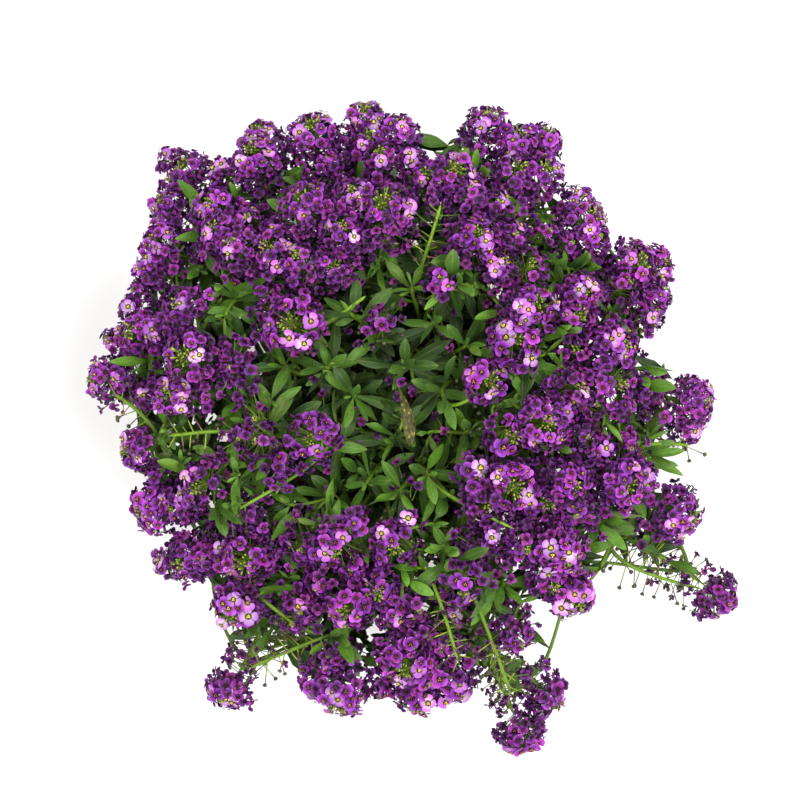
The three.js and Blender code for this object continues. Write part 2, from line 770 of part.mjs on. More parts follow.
// Head of florets: a dome whose surface rises to four petal tips round every floret's dished
// middle and sinks into grooves between the florets
function headSolid(head) {
  const florets = floretCount(head);
  const petalSpread = PETAL_REACH / Math.sqrt(florets);
  const [side, other] = crossAxes(head.axis);
  const places = [];
  const middles = [];
  const place = (direction, share) => places.push({ direction, share });
  for (let i = 0; i < florets; i += 1) {
    const polar = Math.acos(1 - ((i + 0.5) / florets) * FLORET_SPREAD);
    const turn = i * GOLDEN_ANGLE + head.turn;
    const flat = Math.sin(polar);
    const middle = vector(flat * Math.cos(turn), flat * Math.sin(turn), Math.cos(polar));
    middles.push(middle);
    place(middle, FLORET_DISH);
    const [across, over] = crossAxes(middle);
    for (let petal = 0; petal < PETALS; petal += 1) {
      const angle = (petal * 2 * Math.PI) / PETALS + i * PETAL_TWIST;
      place(
        middle.clone().addScaledVector(across, petalSpread * Math.cos(angle))
          .addScaledVector(over, petalSpread * Math.sin(angle)).normalize(),
        1,
      );
    }
  }
  const base = vector(0, 0, -1);
  place(base, HEAD_UNDERSIDE);
  for (const corners of hullTriangles([...middles, base])) {
    const groove = corners[0].clone().add(corners[1]).add(corners[2]).normalize();
    if (groove.z > GROOVE_LOWEST) {
      place(groove, GROOVE_DEPTH);
    }
  }
  const spots = places.map(({ direction, share }) => {
    const local = direction.clone().multiplyScalar(share * head.radius);
    return head.centre.clone().addScaledVector(side, local.x).addScaledVector(other, local.y)
      .addScaledVector(head.axis, local.z * HEAD_FLATNESS);
  });
  const order = new Map(places.map(({ direction }, i) => [direction, i]));
  const triangles = [];
  for (const corners of hullTriangles(places.map(({ direction }) => direction))) {
    triangles.push(...corners.map((corner) => order.get(corner)));
  }
  return closedSurface(spots, triangles);
}

// Triangles of the hull round unit directions, each as its three directions
function hullTriangles(directions) {
  const found = [];
  for (const face of new ConvexHull().setFromPoints(directions).faces) {
    const corners = [];
    let edge = face.edge;
    do {
      corners.push(edge.head().point);
      edge = edge.next;
    } while (edge !== face.edge);
    for (let i = 1; i + 1 < corners.length; i += 1) {
      found.push([corners[0], corners[i], corners[i + 1]]);
    }
  }
  return found;
}

// Nursery pot: a tapered wall with a flat floor and an outward rim, turned as one closed profile
function potGeometry() {
  const slope = (POT_TOP_RADIUS - POT_FOOT_RADIUS) / POT_HEIGHT;
  const outer = (level) => POT_FOOT_RADIUS + slope * level;
  const inner = (level) => outer(level) - POT_WALL;
  const rimFoot = POT_HEIGHT - RIM_HEIGHT;
  const profile = [
    [0, 0],
    [POT_FOOT_RADIUS, 0],
    [outer(rimFoot), rimFoot],
    [outer(rimFoot) + RIM_OUT, rimFoot + RIM_CHAMFER],
    [POT_TOP_RADIUS + RIM_OUT, POT_HEIGHT - RIM_CHAMFER],
    [POT_TOP_RADIUS + RIM_OUT - RIM_CHAMFER, POT_HEIGHT],
    [inner(POT_HEIGHT), POT_HEIGHT],
    [inner(POT_FLOOR), POT_FLOOR],
    [0, POT_FLOOR],
  ].map(([radius, level]) => new THREE.Vector2(radius, level));
  const wall = new THREE.LatheGeometry(profile, POT_SIDES);
  wall.rotateX(Math.PI / 2);
  let pot = solidOfGeometry(wall);
  for (let hole = 0; hole < DRAIN_HOLES; hole += 1) {
    const angle = (hole * 2 * Math.PI) / DRAIN_HOLES;
    const drill = new THREE.CylinderGeometry(DRAIN_RADIUS, DRAIN_RADIUS, POT_FLOOR * 3, DRAIN_SIDES);
    drill.rotateX(Math.PI / 2);
    drill.translate(DRAIN_REACH * Math.cos(angle), DRAIN_REACH * Math.sin(angle), 0);
    pot = pot.subtract(solidOfGeometry(drill));
  }
  return geometryOf(pot);
}

// Root ball: fills the pot with a small clearance and has a plain hole for the crown
function soilGeometry() {
  const slope = (POT_TOP_RADIUS - POT_FOOT_RADIUS) / POT_HEIGHT;
  const fit = (level) => POT_FOOT_RADIUS + slope * level - POT_WALL - CLEARANCE;
  const bottom = POT_FLOOR + CLEARANCE;
  const hole = CROWN_RADIUS + CLEARANCE;
  const profile = [
    [0, bottom],
    [fit(bottom), bottom],
    [fit(SOIL_TOP - SOIL_EDGE_DROP), SOIL_TOP - SOIL_EDGE_DROP],
    [fit(SOIL_TOP) - SOIL_EDGE_WIDTH, SOIL_TOP],
    [fit(SOIL_TOP) * 0.5, SOIL_TOP + SOIL_CROWN * 0.7],
    [hole, SOIL_TOP + SOIL_CROWN],
    [hole, SOIL_TOP - CROWN_DEPTH],
    [0, SOIL_TOP - CROWN_DEPTH],
  ].map(([radius, level]) => new THREE.Vector2(radius, level));
  const ball = new THREE.LatheGeometry(profile, POT_SIDES);
  ball.rotateX(Math.PI / 2);
  return geometryOf(solidOfGeometry(ball));
}

// Crown: a woody neck standing in the root ball, with a short limb towards every spray
function crownGeometry(sprays) {
  const foot = SOIL_TOP - CROWN_DEPTH + CLEARANCE;
  const profile = [
    [0, foot],
    [CROWN_RADIUS * 0.7, foot],
    [CROWN_RADIUS * CROWN_WAIST, foot + CROWN_DEPTH * 0.5],
    [CROWN_RADIUS * CROWN_WAIST, SOIL_TOP + SOIL_CROWN],
    [CROWN_RADIUS * CROWN_SHOULDER, CROWN_TOP - 4],
    [CROWN_RADIUS * 0.8, CROWN_TOP],
    [0, CROWN_TOP + 1],
  ].map(([radius, level]) => new THREE.Vector2(radius, level));
  const neck = new THREE.LatheGeometry(profile, CROWN_SIDES);
  neck.rotateX(Math.PI / 2);
  const solids = [solidOfGeometry(neck)];
  for (const { stem } of sprays) {
    const end = stem.curve.getPoint(0);
    const along = stem.curve.getTangent(0);
    const out = outwardOf(end);
    const limb = new THREE.QuadraticBezierCurve3(
      vector(out.x * 1.5, out.y * 1.5, end.z - 1),
      end.clone().addScaledVector(along, -4),
      end.clone().addScaledVector(along, -CLEARANCE * 1.2),
    );
    solids.push(rodSolid(limb, STEM_RADIUS * LIMB_THICKENING, STEM_SIDES, 2));
  }
  return geometryOf(joined(solids));
}

// The spot on a rod's faceted centre line that lies nearest to a point of its smooth curve
function seatOn(line, point) {
  const spot = vector(0, 0, 0);
  let best = null;
  for (let i = 0; i + 1 < line.length; i += 1) {
    new THREE.Line3(line[i], line[i + 1]).closestPointToPoint(point, true, spot);
    if (!best || spot.distanceTo(point) < best.distanceTo(point)) {
      best = spot.clone();
    }
  }
  return best;
}

// One spray: its stem, the stalks and shoots seated on the stem, and the leaves and pedicels
// seated on whichever rod bears them
function sprayGeometry(spray) {
  const stem = spray.stem.curve;
  const solids = [rodSolid(stem, STEM_RADIUS, STEM_SIDES, STEM_STEPS)];
  const stemLine = stem.getSpacedPoints(STEM_STEPS);
  const lines = new Map([[stem, stemLine]]);
  for (const { curve } of [...spray.stalks, ...spray.shoots]) {
    const foot = seatOn(stemLine, curve.v0);
    const seated = new THREE.CubicBezierCurve3(foot, curve.v1, curve.v2, curve.v3);
    const steps = Math.max(2, Math.round(seated.getLength() / STALK_STEP));
    solids.push(rodSolid(seated, STALK_RADIUS, STALK_SIDES, steps));
    lines.set(curve, seated.getSpacedPoints(steps));
  }
  for (const leaf of spray.leaves) {
    solids.push(leafSolid(seatOn(lines.get(leaf.bearer), leaf.root), leaf));
  }
  for (const pedicel of spray.pedicels) {
    solids.push(pedicelSolid(seatOn(lines.get(pedicel.bearer), pedicel.root), pedicel));
  }
  return geometryOf(joined(solids));
}

function bunchGeometry(heads) {
  return geometryOf(joined(heads.map(headSolid)));
}

function addPiece(group, name, geometry, colour, roughness) {
  const material = new THREE.MeshStandardMaterial({ color: colour, roughness, metalness: 0 });
  material.name = name;
  const mesh = new THREE.Mesh(geometry, material);
  mesh.name = name;
  group.add(mesh);
}

const plant = new THREE.Group();
plant.name = "potted_sweet_alyssum";

addPiece(plant, "pot", potGeometry(), 0xa8603f, 0.7);
addPiece(plant, "root_ball", soilGeometry(), 0x3b2a20, 0.95);

const heads = placeHeads();
const sprays = growSprays(heads);
addPiece(plant, "crown", crownGeometry(sprays), 0x6b5a35, 0.85);
const twoDigits = (number) => String(number + 1).padStart(2, "0");
for (const spray of sprays) {
  addPiece(plant, `spray_${twoDigits(spray.index)}`, sprayGeometry(spray), 0x4c7a2c, 0.6);
}
BUNCHES.forEach((rows, bunch) => {
  const own = heads.filter((head) => head.bunch === bunch);
  addPiece(plant, `flower_bunch_${twoDigits(bunch)}`, bunchGeometry(own), 0x7a2a96, 0.65);
});

export default plant;
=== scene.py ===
import json
import math

import bpy
import numpy as np
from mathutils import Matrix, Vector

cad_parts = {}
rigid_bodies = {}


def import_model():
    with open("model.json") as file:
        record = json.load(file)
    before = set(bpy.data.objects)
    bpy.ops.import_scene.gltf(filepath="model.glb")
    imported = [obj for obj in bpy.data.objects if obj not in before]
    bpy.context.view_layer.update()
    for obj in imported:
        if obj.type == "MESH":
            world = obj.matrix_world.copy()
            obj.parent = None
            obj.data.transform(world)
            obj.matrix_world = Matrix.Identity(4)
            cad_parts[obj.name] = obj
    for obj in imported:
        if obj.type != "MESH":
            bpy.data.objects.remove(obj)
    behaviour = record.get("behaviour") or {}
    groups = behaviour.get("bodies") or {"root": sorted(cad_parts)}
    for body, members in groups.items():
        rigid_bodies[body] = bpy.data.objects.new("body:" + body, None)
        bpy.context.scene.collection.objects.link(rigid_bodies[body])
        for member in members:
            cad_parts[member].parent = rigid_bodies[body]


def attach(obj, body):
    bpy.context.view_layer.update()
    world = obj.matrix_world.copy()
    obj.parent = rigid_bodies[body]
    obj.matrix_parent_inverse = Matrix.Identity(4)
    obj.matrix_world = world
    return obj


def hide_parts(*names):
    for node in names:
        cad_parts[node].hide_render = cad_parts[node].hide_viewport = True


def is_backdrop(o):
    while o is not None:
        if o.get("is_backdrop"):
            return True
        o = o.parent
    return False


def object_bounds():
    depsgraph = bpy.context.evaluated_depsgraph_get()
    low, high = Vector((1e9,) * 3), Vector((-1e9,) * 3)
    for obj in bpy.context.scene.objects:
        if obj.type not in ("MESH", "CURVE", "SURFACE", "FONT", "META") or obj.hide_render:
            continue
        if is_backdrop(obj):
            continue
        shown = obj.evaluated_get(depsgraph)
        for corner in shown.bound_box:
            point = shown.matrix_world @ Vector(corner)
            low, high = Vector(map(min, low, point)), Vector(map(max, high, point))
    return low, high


# Potted sweet alyssum. The plan below sets out the same heads, stems, shoots and leaves as the
# solids, in millimetres, and every finer piece is built from it in metres.

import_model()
cad_low, cad_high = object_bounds()

MM = 0.001
BOX_INSET = 0.05
UP = np.array([0.0, 0.0, 1.0])
GOLDEN_ANGLE = math.pi * (3 - math.sqrt(5))

# Seeds of the draws. Those of sprays and bunches count on from the first one.
HEAD_SEED = 11
PLAN_SPRAY_SEED = 100
FINE_SEED = 2024
SPRAY_SEED = 300
BUNCH_SEED = 600
SOIL_SEED = 7

# Pot, root ball and crown
POT_HEIGHT = 90
POT_FOOT_RADIUS = 38
POT_TOP_RADIUS = 50.5
POT_WALL = 1.6
POT_FLOOR = 2.2
RIM_OUT = 2
RIM_HEIGHT = 9
DRAIN_HOLES = 6
DRAIN_RADIUS = 4
DRAIN_REACH = 25
CLEARANCE = 0.3
SOIL_TOP = 80
SOIL_CROWN = 3
CROWN_RADIUS = 4.6
CROWN_TOP = 92
BRANCH_START = 15
BRANCH_LEVEL = 88
BRANCH_STAGGER = 1.5

# Plan grid: one step is 0.36 mm, the middle lies on the pot's axis, seen from a high eye point
PLAN_STEP = 0.36
PLAN_MIDDLE = 400
PLAN_LEVEL = 120
EYE_HEIGHT = 1000
PLAN_SIZE = 800

# Mound and flower heads
MOUND_TOP = 148
MOUND_FLAT_RADIUS = 42
MOUND_FALL = 56
MOUND_FALL_RADIUS = 72
LOWEST_HEAD = 84
EDGE_RADIUS = 115
FAR_APART = 40
FARTHEST_MEETING = 75
HEAD_GAP = 0.6
HEAD_TOUCH = 0.72
TINY_HEAD = 7.2
TINY_TOUCH = 0.6
HEAD_SCALE = 1.13
SETTLE_ROUNDS = 160
SETTLE_MORE = 0.01
HEAD_FLATNESS = 0.84
HEAD_UNDERSIDE = 0.55
HEAD_TILT = 0.2
HEAD_EDGE_TILT = 0.8
HEAD_LEAST_TILT = 0.05
HEAD_SWING = 0.5
HEAD_LEAN = 0.4

# Stems, stalks and leaves
SPRAYS = 12
STEM_RADIUS = 1.3
STALK_RADIUS = 0.85
LEAF_LENGTH = 18
LEAF_WIDTH = 4.8
PEDICEL_LENGTH = 8.5
PEDICEL_RADIUS = 0.35
KNOB_RADIUS = 1.1
PIECE_GAP = 0.7
STALKED_HEAD = 8.3
TIGHT_ROOM = 0.4
STEM_RUN = 24
STEM_RISES = (20, 14, 26, 8)
STEM_SWINGS = (0, 6, -6, 12, -12)
STEM_DIPS = (0, -8, 8)
STALK_SHIFTS = (0, -9, 9, -18, 16)
STALK_SWAYS = (0, 5, -5, 10, -10, 15, -15)
STALK_ARRIVALS = ((12, 0), (12, -6), (7, 0), (16, 6), (7, -10), (18, -4))
STALK_ONWARD = 5
STALK_UPWARD = 6
STALK_FIRST_SWAY = 0.6
STALK_BACK = 24
SHOOT_BACK = 14
FOOT_STEPS = 60
FOOT_NEAREST = 18
FIRST_FOOT = 4
LAST_FOOT = 53
FOOT_GAP = 0.03
CURVE_SAMPLES = 16
CURVE_ROOTED = 6
WALK_SAMPLES = 90
HEADING_STEP = 0.0001
PEDICEL_SPACING = 2.9
PEDICEL_GAP = 0.3
PEDICEL_LIFT = 0.35
LEAF_TRIES = 6
LEAF_RETURN = 1.05
LEAF_WIDEST = 0.52
LEAF_ARCH = 0.6
LEAF_DROOP = 0.16
STEM_LEAF_LIFT = 0.5
LEAF_RUN_START = 0.6
LEAF_RUN_SHARES = (0.3, 0.5, 0.35)
LEAF_TIP_RADIUS = 0.4

# Each of these is a least value and what a draw, or the way along the shoot, adds to it
STEM_LEAF_LENGTHS = (0.72, 0.3)
STEM_LEAF_WIDTHS = (0.8, 0.3)
SHOOT_LEAF_LENGTHS = (1.05, -0.35)
SHOOT_LEAF_VARIES = (0.9, 0.2)
SHOOT_LEAF_WIDTHS = (1.02, -0.25)
SHOOT_LEAF_PLACES = (0.72, 0.26)
SHOOT_LEAF_LIFTS = (0.15, 0.85)
PEDICEL_VARIES = (0.85, 0.3)
PEDICEL_START = 0.9

SHOOT_LEAVES = 5
SHOOT_LEAN = 0.35
STEM_LEAF_PLACES = (0.35, 0.6)
STALK_LEAF_PLACES = (0.45,)

# Levels that stems and leaves keep above
SOIL_ZONE = 47
SOIL_LEVEL = 84.5
RIM_ZONE = 58
RIM_LEVEL = 91.5
HANG_LEVEL = 66

# Flower heads, one bunch to a row. Each head is (plan x, plan y, radius in plan steps,
# millimetres below the mound's surface, pedicels left bare on its stalk).
BUNCHES = (
    ((262, 168, 26, 0, 0), (262, 132, 20, 4, 0)),
    ((314, 147, 25, 0, 0), (310, 120, 15, 8, 0)),
    ((298, 216, 26, 0, 0), (332, 212, 17, 3, 0), (345, 236, 22, 2, 0), (353, 196, 19, 0, 0),
     (385, 213, 27, 0, 0)),
    ((166, 203, 19, 0, 0), (172, 166, 17, 2, 0), (203, 164, 20, 8, 0), (158, 231, 16, 4, 0),
     (175, 262, 23, 0, 0), (142, 282, 17, 2, 0)),
    ((214, 206, 20, 0, 0), (214, 232, 20, 1, 0), (239, 255, 21, 0, 0),
     (278, 242, 22, 6, 0), (308, 264, 20, 7, 0)),
    ((188, 300, 21, 0, 0), (182, 325, 14, 3, 0), (158, 342, 17, 6, 0), (140, 325, 21, 0, 0),
     (114, 342, 13, 3, 0)),
    ((366, 115, 20, 0, 0), (362, 150, 20, 10, 0), (388, 163, 18, 2, 0), (405, 130, 18, 0, 0)),
    ((428, 180, 19, 3, 0), (450, 172, 22, 0, 4), (470, 199, 17, 3, 0)),
    ((478, 122, 22, 0, 3), (520, 145, 22, 0, 0), (515, 182, 22, 8, 0), (548, 141, 19, 0, 0),
     (549, 178, 20, 1, 0)),
    ((582, 220, 21, 0, 0), (572, 194, 16, 2, 0), (606, 254, 16, 0, 0)),
    ((475, 240, 24, 0, 0), (497, 270, 19, 3, 0), (533, 271, 18, 5, 0)),
    ((530, 304, 25, 0, 0), (508, 338, 23, 0, 0), (527, 364, 13, 5, 0)),
    ((583, 293, 20, 0, 0), (578, 318, 18, 3, 0)),
    ((622, 262, 25, 0, 0), (655, 258, 21, 0, 0), (620, 288, 19, 5, 0), (658, 297, 18, 1, 0),
     (645, 322, 16, 3, 0)),
    ((615, 340, 23, 0, 0), (603, 378, 26, 0, 0), (572, 387, 19, 5, 0), (590, 407, 17, 5, 0),
     (627, 415, 15, 3, 0)),
    ((488, 378, 20, 3, 0),),
    ((546, 423, 26, 0, 0), (505, 441, 21, 3, 0)),
    ((690, 397, 25, 0, 4), (690, 433, 14, 2, 0)),
    ((618, 483, 25, 0, 0), (642, 478, 17, 1, 0)),
    ((567, 479, 23, 0, 0), (535, 502, 19, 8, 0)),
    ((520, 475, 24, 0, 0), (482, 504, 20, 8, 0), (474, 470, 19, 5, 0)),
    ((675, 512, 27, 0, 0),),
    ((560, 548, 26, 0, 0), (522, 546, 19, 6, 0), (545, 580, 19, 4, 0), (573, 596, 23, 0, 0)),
    ((715, 595, 25, 0, 9),),
    ((462, 583, 19, 0, 0),),
    ((393, 547, 23, 0, 0), (410, 521, 12, 3, 0)),
    ((348, 604, 23, 0, 0), (380, 587, 19, 4, 0)),
    ((337, 546, 23, 0, 0), (352, 525, 13, 3, 0)),
    ((308, 600, 17, 4, 0), (290, 622, 15, 6, 0)),
    ((388, 657, 26, 0, 0), (415, 638, 15, 3, 0), (438, 668, 19, 4, 0), (415, 700, 23, 2, 0),
     (466, 688, 19, 0, 5)),
    ((345, 692, 26, 0, 0), (312, 683, 15, 4, 0)),
    ((517, 635, 16, 0, 3),),
    ((550, 690, 21, 0, 0), (533, 712, 13, 4, 0), (517, 735, 26, 0, 6)),
    ((230, 688, 23, 0, 6),),
    ((238, 605, 24, 0, 0),),
    ((268, 560, 25, 0, 0), (228, 556, 17, 4, 0), (198, 543, 15, 6, 0), (176, 565, 23, 0, 0)),
    ((145, 508, 23, 0, 0), (180, 515, 19, 6, 0), (193, 495, 15, 6, 0), (215, 475, 23, 0, 0)),
    ((138, 450, 20, 0, 0),),
    ((100, 380, 21, 0, 4), (128, 378, 16, 5, 0)),
    ((193, 356, 27, 0, 0), (175, 395, 21, 0, 0)),
    ((298, 328, 27, 0, 0), (268, 308, 13, 3, 0)),
    ((313, 437, 24, 0, 0),),
    ((262, 445, 17, 3, 0), (258, 414, 14, 4, 0), (240, 437, 10, 4, 0)),
    ((378, 320, 10, 8, 0),),
    ((442, 280, 11, 3, 0),),
)

# Leafy shoots, each (plan x, plan y, millimetres below the mound's surface)
SHOOTS = (
    (412, 286, 12), (350, 312, 10), (325, 366, 12), (352, 396, 16), (404, 366, 12), (468, 344, 12),
    (366, 484, 12), (446, 398, 10), (428, 476, 16), (396, 438, 20), (432, 320, 14), (282, 366, 16),
    (470, 430, 16), (330, 500, 18), (400, 494, 14), (378, 262, 16), (236, 298, 16), (300, 184, 14),
    (505, 584, 8), (650, 455, 8), (236, 400, 18), (545, 385, 20), (560, 270, 18), (640, 370, 10),
    (170, 470, 14), (285, 585, 14), (330, 640, 14), (600, 520, 12), (520, 215, 16),
)

FILLER_SCALE = 0.95
FILLER_TOUCH = 0.86
FILLER_ROUNDS = 30
FILLER_STEP = np.array([0.6, 0.6, 0.24])

# Small heads between the others, each (plan x, plan y, radius in plan steps, millimetres below)
FILLERS = (
    (330, 166, 17, 5), (335, 270, 19, 12), (128, 307, 10, 0), (410, 168, 13, 4), (493, 205, 14, 5),
    (545, 235, 13, 5), (572, 340, 20, 9), (583, 436, 15, 7), (642, 392, 15, 7), (598, 458, 18, 8),
    (588, 515, 10, 7), (478, 549, 13, 8), (458, 608, 15, 4), (397, 612, 12, 5), (418, 606, 12, 3),
    (303, 545, 17, 8), (322, 580, 17, 8), (430, 645, 17, 6), (330, 660, 17, 8), (245, 536, 18, 9),
    (146, 396, 13, 5), (228, 366, 15, 7), (285, 460, 13, 7), (250, 222, 17, 8), (343, 130, 16, 3),
    (572, 244, 14, 6), (518, 248, 17, 5), (625, 453, 14, 5), (568, 515, 16, 5), (498, 535, 15, 7),
    (352, 578, 16, 4), (155, 487, 15, 3), (222, 170, 13, 4), (178, 164, 13, 3), (167, 563, 14, 3),
    (141, 288, 11, 4), (380, 689, 12, 4), (112, 339, 9, 2),
)

# Clearings between heads, where few florets stand and leaves, stems and gaps show, each
# (plan x, plan y, radius in plan steps, tries for a leafy shoot)
CLEARINGS = (
    (180, 440, 28, 14), (262, 426, 28, 12), (222, 490, 24, 12), (540, 262, 28, 26), (536, 352, 30, 16),
    (618, 414, 20, 10), (306, 532, 15, 4), (418, 556, 34, 12), (458, 604, 38, 4), (338, 578, 16, 4),
    (138, 372, 14, 6), (212, 216, 13, 8), (212, 322, 20, 18), (504, 416, 14, 6), (355, 546, 18, 8),
    (302, 445, 20, 16), (286, 612, 14, 4), (302, 214, 13, 8), (470, 274, 15, 12), (622, 300, 15, 14),
    (612, 372, 13, 8), (612, 450, 13, 6), (486, 290, 7, 6),
)


# Seeded draws, the same sequence as the one that the solids are set out with

WORD = 0xFFFFFFFF


def draws_from(seed):
    state = seed & WORD

    def draw():
        nonlocal state
        state = (state + 0x6D2B79F5) & WORD
        mixed = ((state ^ (state >> 15)) * (state | 1)) & WORD
        mixed ^= (mixed + ((mixed ^ (mixed >> 7)) * (mixed | 61) & WORD)) & WORD
        return ((mixed ^ (mixed >> 14)) & WORD) / 4294967296

    return draw


# Vectors


def unit(vector):
    return vector / np.linalg.norm(vector)


def units(vectors):
    return vectors / np.linalg.norm(vectors, axis=-1, keepdims=True)


def between(law, share):
    """A first value and a share of what may be added to it"""
    return law[0] + law[1] * share


def reach_of(point):
    return math.hypot(point[0], point[1])


def outward_of(point):
    return np.array([point[0], point[1], 0.0]) / reach_of(point)


def cross_axes(direction):
    helper = UP if abs(direction[2]) < 0.9 else np.array([1.0, 0.0, 0.0])
    side = unit(np.cross(direction, helper))
    return side, np.cross(direction, side)


def spoke(along, turn):
    """Direction across an axis, at a turn round it"""
    side, other = cross_axes(along)
    return side * math.cos(turn) + other * math.sin(turn)


def slant(along, turn, lift):
    """Direction that leaves an axis at a turn round it and lifts towards its tip"""
    return unit(spoke(along, turn) * math.cos(lift) + along * math.sin(lift))


def polar(reach, turn, level):
    """Point at a reach from an upright axis, a turn round it and a level"""
    return np.array([reach * math.cos(turn), reach * math.sin(turn), level])


def even_turns(sides):
    return 2 * math.pi * np.arange(sides) / sides


def cross_axes_of_all(directions):
    upright = np.abs(directions[:, 2:3]) >= 0.9
    helpers = np.where(upright, np.array([[1.0, 0.0, 0.0]]), UP[None])
    sides = units(np.cross(directions, helpers))
    return sides, np.cross(directions, sides)


def circles(sides, others, count):
    """Ring of directions across each of several axes"""
    turns = even_turns(count)
    return np.cos(turns)[:, None] * sides[:, None] + np.sin(turns)[:, None] * others[:, None]


# Plan of the plant


class Head:
    """One flower head, its place, size and the way it faces"""

    def __init__(self, centre, radius, spent, bunch):
        self.centre = centre
        self.radius = radius
        self.spent = spent
        self.bunch = bunch
        self.parent = -1
        self.axis = UP
        self.turn = 0.0
        self.base = centre
        self.course = None

    def find_base(self):
        drop = HEAD_UNDERSIDE * HEAD_FLATNESS * self.radius + CLEARANCE
        self.base = self.centre - self.axis * drop


class Course:
    """Cubic curve from a foot to an end"""

    def __init__(self, corners, key):
        self.corners = np.asarray(corners, float)
        self.key = key
        self.place = 0.0

    def points(self, shares):
        return weights_at(shares) @ self.corners

    def point(self, share):
        return self.points(np.array([share]))[0]

    def heading(self, share):
        ends = max(0.0, share - HEADING_STEP), min(1.0, share + HEADING_STEP)
        before, after = self.points(np.array(ends))
        return unit(after - before)

    def run(self, count):
        return self.points(np.linspace(0, 1, count))


def weights_at(shares):
    t = np.asarray(shares, float)[:, None]
    s = 1 - t
    return np.hstack([s * s * s, 3 * s * s * t, 3 * s * t * t, t * t * t])


def mound_height(reach):
    past = max(0.0, reach - MOUND_FLAT_RADIUS) / MOUND_FALL_RADIUS
    return max(LOWEST_HEAD, MOUND_TOP - MOUND_FALL * past * past)


def from_plan(plan_x, plan_y, below):
    x = (plan_x - PLAN_MIDDLE) * PLAN_STEP
    y = (PLAN_MIDDLE - plan_y) * PLAN_STEP
    z = mound_height(math.hypot(x, y)) - below
    scale = (EYE_HEIGHT - z) / (EYE_HEIGHT - PLAN_LEVEL)
    return np.array([x * scale, y * scale, z])


CLEARING_PLACES = np.array([from_plan(x, y, 6)[:2] for x, y, _, _ in CLEARINGS])
CLEARING_RADII = np.array([steps * PLAN_STEP for _, _, steps, _ in CLEARINGS])


def in_clearing(point):
    return bool((np.linalg.norm(CLEARING_PLACES - point[:2], axis=1) < CLEARING_RADII).any())


def head_axis(centre, swing, lean):
    edge_tilt = HEAD_EDGE_TILT * (reach_of(centre) / EDGE_RADIUS) ** 2
    tilt = max(HEAD_LEAST_TILT, HEAD_TILT + edge_tilt + lean)
    azimuth = math.atan2(centre[1], centre[0]) + swing
    return polar(math.sin(tilt), azimuth, math.cos(tilt))


def width_along(head, x, y, z):
    along = x * head.axis[0] + y * head.axis[1] + z * head.axis[2]
    return head.radius * math.sqrt(max(0.0, 1 - along * along) + (HEAD_FLATNESS * along) ** 2)


def nearest_before(heads, start, head):
    best, best_gap = -1, math.inf
    for i in range(start, len(heads)):
        gap = np.linalg.norm(heads[i].centre - head.centre) - heads[i].radius
        if gap < best_gap:
            best, best_gap = i, gap
    return best


def settle(heads):
    """Heads of separate bunches are eased apart and those of one bunch drawn together"""
    spots = [list(head.centre) for head in heads]
    pairs = [
        (i, j)
        for i in range(len(heads))
        for j in range(i + 1, len(heads))
        if np.linalg.norm(heads[i].centre - heads[j].centre) < FARTHEST_MEETING
    ]
    for _ in range(SETTLE_ROUNDS):
        for i, j in pairs:
            a, b = spots[i], spots[j]
            x, y, z = b[0] - a[0], b[1] - a[1], b[2] - a[2]
            distance = math.sqrt(x * x + y * y + z * z)
            if distance > FAR_APART:
                continue
            x, y, z = x / distance, y / distance, z / distance
            first, second = heads[i], heads[j]
            reach = width_along(first, x, y, z) + width_along(second, x, y, z)
            push = 0.0
            if first.bunch != second.bunch and distance < reach + HEAD_GAP:
                push = (reach + HEAD_GAP - distance) / 2 + SETTLE_MORE
            touch = TINY_TOUCH if min(first.radius, second.radius) < TINY_HEAD else HEAD_TOUCH
            if second.parent == i and distance > reach * touch:
                push = (reach * touch - distance) / 2
            if push != 0:
                for axis, part in enumerate((x, y, z)):
                    b[axis] += part * push
                    a[axis] -= part * push
    for head, spot in zip(heads, spots):
        head.centre = np.array(spot)


def place_heads():
    heads = []
    draw = draws_from(HEAD_SEED)
    for bunch, rows in enumerate(BUNCHES):
        start = len(heads)
        for plan_x, plan_y, steps, below, spent in rows:
            centre = from_plan(plan_x, plan_y, below)
            head = Head(centre, steps * PLAN_STEP * HEAD_SCALE, spent, bunch)
            head.parent = nearest_before(heads, start, head)
            swing = (draw() - 0.5) * HEAD_SWING
            lean = (draw() - 0.5) * HEAD_LEAN
            head.axis = head_axis(centre, swing, lean)
            head.turn = draw() * 2 * math.pi
            heads.append(head)
    settle(heads)
    for head in heads:
        head.find_base()
    return heads


def lowest_at(reach):
    """The lowest level that growth may hang to at a reach from the pot's axis"""
    return np.where(reach < SOIL_ZONE, SOIL_LEVEL, np.where(reach < RIM_ZONE, RIM_LEVEL, HANG_LEVEL))


def room_below(point):
    return point[2] - float(lowest_at(reach_of(point)))


